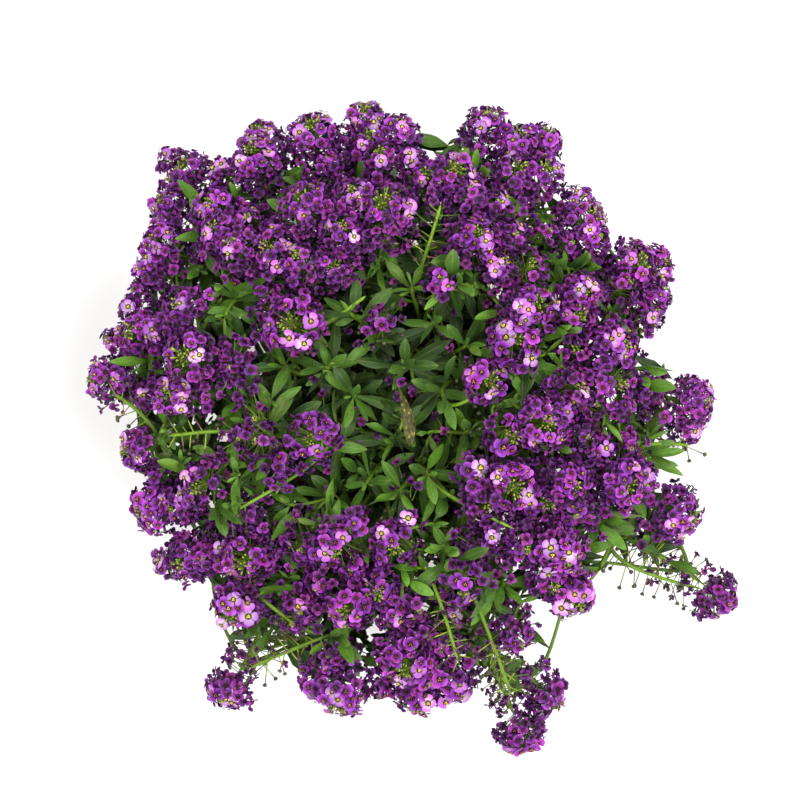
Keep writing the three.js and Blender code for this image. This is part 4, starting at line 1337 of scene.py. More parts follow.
def stalk_run(head, length):
    """Points down a head's stalk from its centre, at even steps of arc, with headings to the tip"""
    drop = np.linalg.norm(head.centre - head.base)
    if head.course is None:
        far = head.base - head.axis * max(0.0, length - drop)
        return measured(np.array([head.centre, head.base, far]))
    return measured(np.vstack([head.centre, head.course.run(WALK_SAMPLES + 1)[::-1]]))


def measured(line):
    """A line of points with the length walked to each of them"""
    steps = np.linalg.norm(np.diff(line, axis=0), axis=1)
    return line, np.concatenate([[0], np.cumsum(steps)])


def place_on(run, distance):
    """Point at a distance down the run, and the direction back to the tip"""
    line, walked = run
    distance = min(distance, walked[-1])
    here, ahead, behind = (
        np.array([np.interp(spot, walked, line[:, axis]) for axis in range(3)])
        for spot in (distance, max(0, distance - 1), distance + 1)
    )
    return here, unit(ahead - behind)


def whorl(run, start, spacing, count, margin, draw):
    """Places down a stalk, turned on from each other: number, point, heading and way out"""
    turn = draw.uniform(0, 2 * math.pi)
    for k in range(count):
        turn += GOLDEN_ANGLE
        distance = start + k * spacing
        if distance > run[1][-1] - margin:
            break
        here, along = place_on(run, distance)
        yield k, here, along, spoke(along, turn)


def skirt_posy(head, posy, draw):
    """Older florets all round the stalk under a head, on pedicels that droop with age"""
    run = stalk_run(head, SKIRT_LENGTH)
    start = head.radius * SKIRT_FROM
    share = (reach_of(head.centre) - SKIRT_BARE_REACH) / (SKIRT_FULL_REACH - SKIRT_BARE_REACH)
    florets = round(SKIRT_FLORETS * min(1, max(SKIRT_LEAST_SHARE, share)))
    florets -= 4 if head.course is None else 0
    for k, here, along, out in whorl(run, start, SKIRT_SPACING, florets, 0, draw):
        down = k / (SKIRT_FLORETS - 1)
        rise = between(SKIRT_RISE, down) + draw.normal(0, 0.1)
        length = SKIRT_PEDICEL * draw.uniform(*PEDICEL_RANGE) * min(1, 0.45 + head.radius / 14)
        centre = here + (out * math.cos(rise) + along * math.sin(rise)) * length
        if is_hidden(centre, head) or room_below(centre) < SKIRT_ROOM:
            continue
        if in_clearing(centre) and draw.uniform() < CLEARING_SKIRT_LOSS:
            continue
        normal = out * 0.8 + along * 0.45 + UP * 0.35 + draw.normal(0, 0.2, 3)
        age = between(SKIRT_AGE, down) + draw.normal(0, 0.09)
        posy.add(centre, normal, here, age, 1 + (LARGE_FLORET - 1) * floret_growth(head))
    return run, start + florets * SKIRT_SPACING


def brush_places(run, start, count, head, draw):
    """Number, foot, tip and facing of bare pedicels down a stalk"""
    for k, here, along, out in whorl(run, start, BRUSH_SPACING, count, BRUSH_END, draw):
        rise = draw.normal(*BRUSH_RISE)
        way = out * math.cos(rise) + along * math.sin(rise)
        tip = here + way * (BRUSH_PEDICEL * draw.uniform(*PEDICEL_RANGE))
        if not is_hidden(tip, head) and room_below(tip) > BRUSH_ROOM:
            yield k, here, tip, out + along * 0.6


def add_brush(sculpt, run, start, count, head, posy, draw):
    """Bare pedicels with seed pods, and a few withered florets, further down a stalk"""
    roots, tips = [], []
    for k, here, tip, facing in brush_places(run, start, count, head, draw):
        if draw.uniform() < BRUSH_WITHERED - BRUSH_WITHERED_LOSS * k / count:
            posy.add(tip, facing + draw.normal(0, 0.3, 3), here, OLDEST_AGE)
        else:
            roots.append(here)
            tips.append(tip)
    add_buds(sculpt, roots, tips, KNOB_RINGS, KNOB_SIDES, KNOB_MARK, draw)


def head_brush(sculpt, head, run, start, posy, draw):
    if head.course is None or run[1][-1] < start + BRUSH_LEAST_RUN:
        return
    count = round(head.spent * FULL_BRUSH) if head.spent else PLAIN_BRUSH
    add_brush(sculpt, run, start, count, head, posy, draw)


ROOTING_LENGTH = 14
ROOTING_DEEPEST = 45.0
CARPET_TRIES = 16000
CARPET_REACH = (50, 122)
CARPET_GAP = (0.2, 8.0)
CARPET_PEDICEL = (3.0, 11.5)
CARPET_DEPTH = (4.0, 20.0)
CARPET_AGE_AND_SHADE = (0.6, 0.6)
CARPET_AGE_SPREAD = 0.16
CARPET_ROOM = 4
CARPET_INSET = 2
CARPET_STRAY = 1.5
CARPET_SPACING = 4.2
SUNKEN_TRIES = 1300
SUNKEN_REACH = 56
SUNKEN_DEPTH = (13, 30)
SUNKEN_SPACING = 6.5
SUNKEN_CLUSTER = 0.35
SUNKEN_FARTHEST = 30


def stalk_spots():
    """Points up the stalks that florets can be rooted to"""
    spots = []
    for head in all_heads:
        line, walked = stalk_run(head, ROOTING_LENGTH)
        for distance in np.arange(head.radius * 0.2, min(ROOTING_DEEPEST, walked[-1]), 1.0):
            spots.append(place_on((line, walked), distance)[0])
    return np.array(spots)


def carpet_places(spots, draw):
    """Older florets that fill the ground between the heads, each with the stalk point it grows from"""
    low, high = CARPET_REACH
    reaches = np.sqrt(draw.uniform(low**2, high**2, CARPET_TRIES))
    turns = draw.uniform(0, 2 * math.pi, CARPET_TRIES)
    depths = draw.uniform(*CARPET_DEPTH, CARPET_TRIES)
    found, taken = [], np.full((1, 3), np.inf)
    for reach, turn, depth in zip(reaches, turns, depths):
        place = polar(reach, turn, mound_height(reach) - depth)
        gaps = head_gaps(place)
        nearest = int(np.argmin(gaps))
        if not CARPET_GAP[0] < gaps[nearest] < CARPET_GAP[1] or room_below(place) < CARPET_ROOM:
            continue
        if is_outside(place, CARPET_INSET, CARPET_STRAY):
            continue
        if depth < CLEARING_CARPET_DEPTH and in_clearing(place):
            continue
        spot, way = nearest_to(place, spots)
        if nearest_to(place, taken)[1] >= CARPET_SPACING and CARPET_PEDICEL[0] < way < CARPET_PEDICEL[1]:
            taken = np.vstack([taken, place])
            found.append((all_heads[nearest].bunch, place, spots[spot], depth))
    return found


def sunken_places(spots, draw):
    """Withered florets in loose patches down among the leaves of the middle"""
    found, taken = [], np.full((1, 3), np.inf)
    for _ in range(SUNKEN_TRIES):
        reach, turn = SUNKEN_REACH * math.sqrt(draw.uniform()), draw.uniform(0, 2 * math.pi)
        place = polar(reach, turn, mound_height(reach) - draw.uniform(*SUNKEN_DEPTH))
        patch = math.sin(place[0] * 0.21 + 1.3) * math.sin(place[1] * 0.19 + 0.4)
        spot, way = nearest_to(place, spots)
        if patch < SUNKEN_CLUSTER or way > SUNKEN_FARTHEST:
            continue
        gaps = head_gaps(place)
        if gaps.min() > 1 and nearest_to(place, taken)[1] >= SUNKEN_SPACING:
            taken = np.vstack([taken, place])
            root = place + unit(spots[spot] - place) * 6 - UP * 3
            found.append((all_heads[int(np.argmin(gaps))].bunch, place, root, CARPET_DEPTH[1]))
    return found


def carpet_posy(bunch, posy, draw):
    for owner, place, root, depth in carpet:
        if owner != bunch:
            continue
        normal = unit(place - root) * 0.7 + UP * 0.8 + draw.normal(0, 0.25, 3)
        # Carpet florets deeper in the mound are older and darker: partly older growth, partly painted
        # shade
        age = between(CARPET_AGE_AND_SHADE, depth / CARPET_DEPTH[1]) + draw.normal(0, CARPET_AGE_SPREAD)
        posy.add(place, normal, root, age)


# Leaves: narrow blades, widest past the middle, folded a little along the midrib

class Blade:
    """How finely a leaf is made: rows of (share of its length, share of its half width)"""

    def __init__(self, rows, columns):
        self.shares, self.halves = np.array(rows).T
        self.columns = np.array(columns)
        self.form = grid_form(len(rows), len(columns))


FINE_BLADE = Blade((
    (0.0, 0.10), (0.08, 0.14), (0.2, 0.4), (0.36, 0.75), (0.52, 0.97), (0.67, 0.97), (0.81, 0.75),
    (0.93, 0.4), (1.0, 0.05),
), (-1.0, -0.5, 0.0, 0.5, 1.0))
DEEP_BLADE = Blade(
    ((0.0, 0.12), (0.24, 0.5), (0.55, 1.0), (0.82, 0.7), (1.0, 0.05)), (-1.0, 0.0, 1.0),
)
BLADE_TILT_SPREAD = 0.5
BLADE_TWIST_SPREAD = 0.7
BLADE_FOLD = (0.05, 0.6)
BLADE_BOW = 0.12
BLADE_WAVES = 9
BLADE_WAVE_SPREAD = 0.12
# Painted shade: how much lighter in tone a leaf near the mound's surface is than one deep in it
LEAF_PAINTED_LIGHT = 0.7
BLADE_TONE = (-0.16, 0.38)
DRY_AGE = 2.0
SHADED_DEPTH = 46
OPEN_DEPTH = 7
PLAIN_LEAF_LEVEL = 102


def add_leaves(sculpt, leaves, blade, draw):
    if not leaves:
        return
    rows = [(leaf.root, leaf.middle, leaf.tip, leaf.width) for leaf in leaves]
    roots, middles, tips, widths = (np.array(column) for column in zip(*rows))
    count = len(leaves)
    at = LEAF_WIDEST
    bends = (middles - (1 - at) ** 2 * roots - at**2 * tips) / (2 * at * (1 - at))
    shares, columns = blade.shares, blade.columns
    t = shares[None, :, None]
    spine = (1 - t) ** 2 * roots[:, None] + 2 * t * (1 - t) * bends[:, None] + t**2 * tips[:, None]
    along = units(2 * (1 - t) * (bends - roots)[:, None] + 2 * t * (tips - bends)[:, None])
    level = units(np.cross(tips - roots, UP[None]))
    side = units(level[:, None] - along * (along * level[:, None]).sum(axis=2, keepdims=True))
    upper = np.cross(side, along)
    tilt = draw.normal(0, BLADE_TILT_SPREAD, (count, 1))
    twist = (tilt + draw.normal(0, BLADE_TWIST_SPREAD, (count, 1)) * shares)[..., None]
    turned = side * np.cos(twist) + upper * np.sin(twist)
    upper = upper * np.cos(twist) - side * np.sin(twist)
    half = (widths[:, None] / 2 * blade.halves)[..., None]
    fold = draw.uniform(*BLADE_FOLD, (count, 1, 1))
    ripple = np.sin(BLADE_WAVES * shares + draw.uniform(0, 6, (count, 1)))[..., None]
    wave = draw.normal(0, BLADE_WAVE_SPREAD, (count, 1, 1)) * ripple
    aside = (half * columns * np.cos(fold))[..., None]
    lift = np.abs(columns) * np.sin(fold) - BLADE_BOW * columns**2 + wave * columns
    rise = (half * lift)[..., None]
    points = spine[:, :, None] + turned[:, :, None] * aside + upper[:, :, None] * rise
    points = kept_inside(points.reshape(count, -1, 3))[0]
    # Painted shade: leaves deep in the mound get darker tones, those near its surface lighter ones
    depths = np.array([[mound_height(reach_of(tip)) - tip[2]] for tip in tips])
    height = np.clip((SHADED_DEPTH - depths) / (SHADED_DEPTH - OPEN_DEPTH), 0, 1)
    tones = np.clip(LEAF_PAINTED_LIGHT * height + draw.uniform(*BLADE_TONE, (count, 1)), 0, 1)
    dry = np.array([[leaf.dry] for leaf in leaves])
    ages = np.where(dry, DRY_AGE, draw.uniform(0, 1, (count, 1)))
    reach = np.repeat(shares, len(columns))[None]
    edge = np.tile(columns, len(shares))[None]
    sculpt.add(blade.form, points, 0, marked(points.shape[:2], reach, edge, ages, tones))


# Stems

TUBE_SIDES = 6
TUBE_RINGS = 15

# Radii at the foot and the tip of each kind of stem
MAIN_STEM_RADII = (1.495, 0.85)
STALK_RADII = (1.0, 0.72)
SHOOT_RADII = (0.95, 0.6)
TWIG_RADII = (0.75, 0.5)
LOW_SHOOT_RADII = (0.8, 0.5)
OPEN_STEM_RADII = (0.9, 0.55)
LIMB_RADII = (2.1, 1.43)
TUBE_FORM = grid_form(TUBE_RINGS, TUBE_SIDES, closed=True)


def add_stem(sculpt, course, radii, tone):
    points, shares = course_points(course, radii, TUBE_RINGS, TUBE_SIDES)
    along = np.repeat(shares, TUBE_SIDES)[None]
    around = np.tile(np.arange(TUBE_SIDES) / TUBE_SIDES, TUBE_RINGS)[None]
    sculpt.add(TUBE_FORM, points, 1, marked(points.shape[:2], along, around, 0.0, tone))


# Finer growth between the planned heads and shoots

LOW_SHOOTS = 88
LOW_SHOOT_REACH = 60
LOW_SHOOT_LEVEL = (98, 134)
LOW_SHOOT_FALL = 0.16
LOW_SHOOT_ROOM = 3
LOW_SHOOT_CROWDING = 0.62
GAP_SHOOT_TRIES = 700
GAP_SHOOT_REACH = (52, 98)
GAP_SHOOT_ROOM = (2.5, 14)
GAP_SHOOT_SPACING = 10.5
GAP_SHOOT_DEPTH = (9, 24)
GAP_SHOOT_RISE = 8
CLEARING_DEPTH = (2, 14)
CLEARING_ROOM = 0.6
CLEARING_RISE = 6
CLEARING_SPACING = 7.0
DEEP_SHOOT_TRIES = 1500
DEEP_SHOOT_REACH = (20, 96)
DEEP_SHOOT_LEVEL = (88, 106)
DEEP_SHOOT_DROP = 9
DEEP_SHOOT_OVERLAP = 0.2
DEEP_SHOOT_RISE = 3
DEEP_SHOOT_SPACING = 5.6
TUFT_LEAVES = 6
YOUNG_LEAVES = 2
DEEP_TUFT_LEAVES = 7
TUFT_FROM = 0.5
LOW_TUFT_FROM = 0.3
STEM_EXTRA_PLACES = (0.16, 0.24, 0.3, 0.42, 0.5, 0.56, 0.64, 0.7, 0.78)
STALK_EXTRA_PLACES = (0.25, 0.35, 0.52, 0.6)
EXTRA_LEAF_ROOM = 0.2
FINER_WIDEST = 5.52
FINER_SLIMNESS = (0.23, 0.34)
FINER_ARCH = (0.02, 0.18)
FINER_DROOP = (-0.08, 0.3)
TUFT_VARIES = (0.45, 1.15)
TUFT_SHORTENS = (1.04, -0.55)
TUFT_LIFT = (0.1, 0.9)
YOUNG_PLACE = 0.99
YOUNG_VARIES = (0.2, 0.4)
YOUNG_LIFT = (0.6, 1.3)
SIDE_VARIES = (0.6, 1.0)
SIDE_LIFT = (0.1, 0.8)
SIDE_SHIFT = (-0.03, 0.03)
OUTLINE_STEP = 4
OUTLINE_LEAST = 74
OUTLINE_INSET = 4
LEAF_STRAY = 3.0
STRAY_GROWTH = 0.2

# Stems that cross the open middle or stand out between heads, each (plan x, plan y and millimetres
# below the mound's surface of its lower end, the same of its upper end, bare pedicels along it)
OPEN_STEMS = (
    (346, 448, 18, 226, 516, 3, 6),
    (424, 484, 14, 514, 529, 1, 0),
    (424, 546, 4, 459, 664, -6, 26),
    (424, 262, 12, 441, 204, 0, 22),
    (472, 588, 4, 512, 696, -4, 30),
    (240, 428, 10, 168, 436, 0, 12),
    (158, 424, 8, 112, 392, 0, 16),
    (444, 412, 12, 476, 396, 6, 0),
    (630, 442, 8, 690, 445, 2, 5),
    (330, 322, 12, 366, 296, 9, 0),
    (322, 636, 6, 250, 668, 2, 30),
    (250, 590, 8, 300, 628, 2, 8),
    (600, 561, 25, 702, 589, 0, 32),
)
OPEN_STEM_START = 2.0

# Where twigs may branch from a stem, the least they rise, and what counts against a higher place
TRELLIS_PLACES = np.linspace(0.08, 0.85, 24)
TWIG_RISE = 4
TWIG_LEAN = (0.1, 1.1)
TWIG_BENDS = (0.35, 0.4)
LEVEL_PENALTY = 60

# The dry leaf that lies over the middle: plan x, plan y and millimetres below of its foot and tip
DRY_LEAF = (397, 384, 9, 410, 447, 10)
DRY_LEAF_WIDTH = 5.2


def outline_by_turn():
    """How far the flower heads reach from the pot's axis, every few degrees"""
    turns = np.radians(np.arange(0, 360, OUTLINE_STEP))
    ahead = ALL_CENTRES[:, :2] @ np.stack([np.cos(turns), np.sin(turns)])
    aside = (ALL_CENTRES[:, :2] ** 2).sum(axis=1)[:, None] - ahead**2
    inside = ALL_RADII[:, None] ** 2 - aside
    reach = np.where((inside > 0) & (ahead > 0), ahead + np.sqrt(np.maximum(inside, 0)), 0)
    return np.maximum(reach.max(axis=0), OUTLINE_LEAST)


def is_outside(point, inset, stray):
    """Whether a point, seen from above, lies beyond the outline or in the open near to it"""
    turn = math.degrees(math.atan2(point[1], point[0])) % 360
    reach = reach_of(point)
    if reach < OUTLINE_LEAST - inset:
        return False
    depth = OUTLINE[round(turn / OUTLINE_STEP) % len(OUTLINE)] - inset - reach
    return depth < 0 or head_gaps(point[:2]).min() > stray + STRAY_GROWTH * depth


def head_room(points, radii):
    gaps = np.linalg.norm(points[:, None] - ALL_CENTRES[None], axis=2) - ALL_RADII[None]
    return (gaps.min(axis=1) - radii).min()


def finer_leaf(bearer, place, turn, lift, length, draw):
    """A leaf that keeps clear of the heads, or none"""
    width = min(FINER_WIDEST, length * draw.uniform(*FINER_SLIMNESS))
    arch, droop = draw.uniform(*FINER_ARCH), draw.uniform(*FINER_DROOP)
    root = bearer.point(place)
    stem_along = bearer.heading(place)
    for attempt in range(LEAF_TRIES):
        along = slant(stem_along, turn + attempt * LEAF_RETURN, lift)
        middle = root + along * (length * LEAF_WIDEST) + UP * (arch * length)
        tip = root + along * length - UP * (droop * length)
        run = np.array([(root + middle) / 2, middle, (middle + tip) / 2, tip])
        clear = all(room_below(point) > 1 for point in run)
        clear = clear and not is_outside(tip, OUTLINE_INSET, LEAF_STRAY)
        if clear and head_room(run[1:], np.array([width * 0.4, width * 0.3, 0.3])) > EXTRA_LEAF_ROOM:
            return Leaf(root, middle, tip, width)
    return None


def tuft_leaves(bearer, count, first, draw):
    """Whorl of leaves at a shoot's end: long and spreading below, short and upright at the tip"""
    turn = draw.uniform(0, 2 * math.pi)
    found = []
    for k in range(count):
        turn += GOLDEN_ANGLE + draw.normal(0, 0.6)
        along = (k + 0.5) / count
        length = LEAF_LENGTH * between(TUFT_SHORTENS, along**2) * draw.uniform(*TUFT_VARIES)
        place = first + (1 - first) * along
        lift = between(TUFT_LIFT, along) + draw.normal(0, 0.3)
        found.append(finer_leaf(bearer, place, turn, lift, length, draw))
    for _ in range(YOUNG_LEAVES):
        turn += GOLDEN_ANGLE
        length = LEAF_LENGTH * draw.uniform(*YOUNG_VARIES)
        lift = draw.uniform(*YOUNG_LIFT)
        found.append(finer_leaf(bearer, YOUNG_PLACE, turn, lift, length, draw))
    return [leaf for leaf in found if leaf]


def side_leaves(bearer, places, draw):
    turn = draw.uniform(0, 2 * math.pi)
    found = []
    for place in places:
        turn += GOLDEN_ANGLE
        length = LEAF_LENGTH * draw.uniform(*SIDE_VARIES)
        spot = place + draw.uniform(*SIDE_SHIFT)
        lift = draw.uniform(*SIDE_LIFT)
        found.append(finer_leaf(bearer, spot, turn, lift, length, draw))
    return [leaf for leaf in found if leaf]


def all_courses(sprays):
    for spray in sprays:
        yield spray, spray.stem
        for stalk, _ in spray.stalks:
            yield spray, stalk
        for shoot in spray.shoots:
            yield spray, shoot


class Trellis:
    """Points along every stem and stalk, from which finer twigs can branch"""

    def __init__(self, sprays):
        self.spots, self.headings, self.owners = [], [], []
        for spray, course in all_courses(sprays):
            for place in TRELLIS_PLACES:
                self.spots.append(course.point(place))
                self.headings.append(course.heading(place))
                self.owners.append(spray)
        self.spots = np.array(self.spots)

    def nearest_below(self, tip):
        gaps = np.linalg.norm(self.spots - tip, axis=1)
        gaps[self.spots[:, 2] > tip[2] - TWIG_RISE] += LEVEL_PENALTY
        return int(np.argmin(gaps))

    def twig(self, tip, along):
        """Thin curve up to a tip from the nearest place that lies lower"""
        nearest = self.nearest_below(tip)
        foot, heading = self.spots[nearest], self.headings[nearest]
        reach = np.linalg.norm(tip - foot)
        first, last = (reach * bend for bend in TWIG_BENDS)
        corners = [foot, foot + heading * first, tip - along * last, tip]
        return Course(corners, -1), self.owners[nearest]


def low_shoot_tips(draw):
    """Tips of leafy shoots that fill the middle of the mound"""
    tips = []
    for k in range(LOW_SHOOTS):
        reach = LOW_SHOOT_REACH * ((k + 0.5) / LOW_SHOOTS) ** LOW_SHOOT_CROWDING
        turn = k * GOLDEN_ANGLE + draw.normal(0, 0.2)
        tip = polar(reach, turn, draw.uniform(*LOW_SHOOT_LEVEL) - LOW_SHOOT_FALL * reach)
        if head_gaps(tip).min() > LOW_SHOOT_ROOM:
            tips.append(tip)
    return tips


def ring_spot(band, draw):
    """Reach and turn of a place anywhere in a ring"""
    low, high = band
    return math.sqrt(draw.uniform(low**2, high**2)), draw.uniform(0, 2 * math.pi)


def gap_shoot_tips(draw):
    """Tips of leafy shoots that come up between the heads further out"""
    low, high = GAP_SHOOT_ROOM
    tips = []
    for _ in range(GAP_SHOOT_TRIES):
        reach, turn = ring_spot(GAP_SHOOT_REACH, draw)
        tip = polar(reach, turn, mound_height(reach) - draw.uniform(*GAP_SHOOT_DEPTH))
        clear = low < head_gaps(tip).min() < high and is_apart(tip, tips, GAP_SHOOT_SPACING)
        if clear and room_below(tip) > GAP_SHOOT_RISE:
            tips.append(tip)
    return tips


def clearing_shoot_tips(draw):
    """Tips of leafy shoots that stand in the clearings, near the mound's surface"""
    tips = []
    for place, radius, row in zip(CLEARING_PLACES, CLEARING_RADII, CLEARINGS):
        for _ in range(row[3]):
            spot = place + draw.uniform(-radius, radius, 2)
            tip = np.append(spot, mound_height(math.hypot(*spot)) - draw.uniform(*CLEARING_DEPTH))
            clear = head_gaps(tip).min() > CLEARING_ROOM and is_apart(tip, tips, CLEARING_SPACING)
            if clear and room_below(tip) > CLEARING_RISE:
                tips.append(tip)
    return tips


def deep_shoot_tips(draw):
    """Tips of leafy shoots low in the plant, wherever there is no head above them"""
    tips, flat_tips = [], []
    for _ in range(DEEP_SHOOT_TRIES):
        reach, turn = ring_spot(DEEP_SHOOT_REACH, draw)
        drop = DEEP_SHOOT_DROP if reach > RIM_ZONE + 8 else 0
        tip = polar(reach, turn, draw.uniform(*DEEP_SHOOT_LEVEL) - drop)
        open_above = (head_gaps(tip[:2]) + ALL_RADII * DEEP_SHOOT_OVERLAP).min() > 0
        clear = open_above and is_apart(tip[:2], flat_tips, DEEP_SHOOT_SPACING)
        if clear and head_gaps(tip).min() > 1 and room_below(tip) > DEEP_SHOOT_RISE:
            tips.append(tip)
            flat_tips.append(tip[:2])
    return tips


def grow_open_stem(row):
    """A stem that rises from the nearest bearer and runs between its two ends in full view"""
    low, high = from_plan(*row[:3]), from_plan(*row[3:6])
    spot = trellis.nearest_below(low)
    foot = trellis.spots[spot]
    corners = [foot, low + (low - foot) * 0.15, low + (high - low) * 0.6 + UP * 1.5, high]
    head = all_heads[nearest_to(high, ALL_CENTRES)[0]]
    return Course(corners, -1), row[6], head, trellis.owners[spot]


def dry_leaf():
    foot, tip = from_plan(*DRY_LEAF[:3]), from_plan(*DRY_LEAF[3:])
    leaf = Leaf(foot, (foot + tip) / 2 + UP * 3 + np.array([1.5, 0, 0]), tip, DRY_LEAF_WIDTH)
    leaf.dry = True
    return leaf


def settled_filler(head):
    """A small head is eased clear of the larger ones"""
    for _ in range(FILLER_ROUNDS):
        gaps = head.centre - PLANNED_CENTRES
        distances = np.linalg.norm(gaps, axis=1)
        over = (PLANNED_RADII + head.radius) * FILLER_TOUCH - distances
        worst = int(np.argmax(over))
        if over[worst] <= 0:
            break
        push = gaps[worst] / distances[worst] * over[worst]
        head.centre = head.centre + push * FILLER_STEP
    head.find_base()


def filler_heads(draw):
    found = []
    for plan_x, plan_y, steps, below in FILLERS:
        centre = from_plan(plan_x, plan_y, below)
        head = Head(centre, steps * PLAN_STEP * HEAD_SCALE * FILLER_SCALE, 0, 0)
        head.axis = head_axis(centre, draw.uniform(-0.25, 0.25), draw.uniform(-0.2, 0.2))
        head.turn = draw.uniform(0, 2 * math.pi)
        settled_filler(head)
        head.bunch = heads[nearest_to(head.centre, PLANNED_CENTRES)[0]].bunch
        found.append(head)
    return found


# The plant itself: the plan, then the small heads, twigs, older florets, shoots and open stems

heads = place_heads()
sprays = grow_sprays(heads)
fine_draw = np.random.default_rng(FINE_SEED)

BOX_LOW = np.array(cad_low) / MM + BOX_INSET
BOX_HIGH = np.array(cad_high) / MM - BOX_INSET
PLANNED_CENTRES = np.array([head.centre for head in heads])
PLANNED_RADII = np.array([head.radius for head in heads])

fillers = filler_heads(fine_draw)
all_heads = heads + fillers
for number, head in enumerate(all_heads):
    head.number = number
ALL_CENTRES = np.array([head.centre for head in all_heads])
ALL_RADII = np.array([head.radius for head in all_heads])

OUTLINE = outline_by_turn()

trellis = Trellis(sprays)
twigs = []
for head in fillers:
    head.course, owner = trellis.twig(head.base, head.axis)
    twigs.append((head.course, owner))
rooting_spots = stalk_spots()
carpet = carpet_places(rooting_spots, fine_draw) + sunken_places(rooting_spots, fine_draw)


def leaning_twigs(tips, draw):
    """A twig up to each tip, arriving at a slant"""
    found = []
    for tip in tips:
        turn = draw.uniform(0, 2 * math.pi)
        lean = polar(1, turn, 0) * draw.uniform(*TWIG_LEAN)
        found.append(trellis.twig(tip, unit(lean + UP)))
    return found


leafy_tips = low_shoot_tips(fine_draw) + gap_shoot_tips(fine_draw) + clearing_shoot_tips(fine_draw)
low_shoots = leaning_twigs(leafy_tips, fine_draw)
deep_shoots = leaning_twigs(deep_shoot_tips(fine_draw), fine_draw)
open_stems = [grow_open_stem(row) for row in OPEN_STEMS]


# Materials


def tint(red, green, blue):
    """Linear colour of a display colour given from 0 to 255"""
    def linear(value):
        value /= 255
        return value / 12.92 if value <= 0.04045 else ((value + 0.055) / 1.055) ** 2.4
    return (linear(red), linear(green), linear(blue), 1.0)


class Finish:
    """A material and the nodes that make it"""

    def __init__(self, name, roughness, gloss=0.5):
        self.material = bpy.data.materials.new(name)
        self.material.use_nodes = True
        self.nodes = self.material.node_tree.nodes
        self.links = self.material.node_tree.links
        self.shader = self.nodes["Principled BSDF"]
        self.shader.inputs["Roughness"].default_value = roughness
        self.shader.inputs["Specular IOR Level"].default_value = gloss

    def join(self, value, socket):
        """A socket takes a number or a colour, or is linked to another node"""
        if isinstance(value, (int, float, tuple)):
            socket.default_value = value
        else:
            self.links.new(value, socket)

    def mark(self, name):
        node = self.nodes.new("ShaderNodeAttribute")
        node.attribute_name = name
        return node.outputs["Fac"]

    def marks(self):
        return [self.mark(name) for name in MARKS]

    def place(self):
        return self.nodes.new("ShaderNodeTexCoord").outputs["Object"]

    def noise(self, scale, detail=3.0, roughness=0.5, stretch=(1.0, 1.0, 1.0)):
        node = self.nodes.new("ShaderNodeTexNoise")
        mapping = self.nodes.new("ShaderNodeMapping")
        self.join(scale, node.inputs["Scale"])
        self.join(detail, node.inputs["Detail"])
        self.join(roughness, node.inputs["Roughness"])
        self.join(stretch, mapping.inputs["Scale"])
        self.join(self.place(), mapping.inputs["Vector"])
        self.join(mapping.outputs["Vector"], node.inputs["Vector"])
        return node.outputs["Fac"]

    def ramp(self, source, *stops):
        """Colours by a value: each stop is (value, red, green, blue)"""
        node = self.nodes.new("ShaderNodeValToRGB")
        points = node.color_ramp.elements
        while len(points) < len(stops):
            points.new(1.0)
        for point, (value, *colour) in zip(points, stops):
            point.position = value
            point.color = tint(*colour)
        self.join(source, node.inputs["Fac"])
        return node.outputs["Color"]

    def sum(self, operation, first, second=0.0):
        node = self.nodes.new("ShaderNodeMath")
        node.operation = operation
        self.join(first, node.inputs[0])
        self.join(second, node.inputs[1])
        return node.outputs["Value"]

    def waves(self, source, rate):
        return self.sum("SINE", self.sum("MULTIPLY", source, rate))

    def step(self, source, low, high, start=0.0, end=1.0):
        """A value carried smoothly from start to end while the source goes from low to high"""
        node = self.nodes.new("ShaderNodeMapRange")
        node.interpolation_type = "SMOOTHSTEP"
        for socket, value in zip(("From Min", "From Max", "To Min", "To Max"), (low, high, start, end)):
            self.join(value, node.inputs[socket])
        self.join(source, node.inputs["Value"])
        return node.outputs["Result"]

    def mix(self, share, first, second, blend="MIX"):
        node = self.nodes.new("ShaderNodeMix")
        node.data_type = "RGBA"
        node.blend_type = blend
        for socket, value in zip((0, 6, 7), (share, first, second)):
            self.join(value, node.inputs[socket])
        return node.outputs[2]

    def washed(self, colour, *layers, blend="MIX"):
        """A colour under thin layers, each (source, low, high, share at low, share at high, tint)"""
        for source, low, high, start, end, layer in layers:
            colour = self.mix(self.step(source, low, high, start, end), colour, tint(*layer), blend)
        return colour

    def paint(self, colour):
        self.join(colour, self.shader.inputs["Base Color"])

    def bump(self, height, strength, distance):
        node = self.nodes.new("ShaderNodeBump")
        self.join(strength, node.inputs["Strength"])
        self.join(distance, node.inputs["Distance"])
        self.join(height, node.inputs["Height"])
        self.join(node.outputs["Normal"], self.shader.inputs["Normal"])


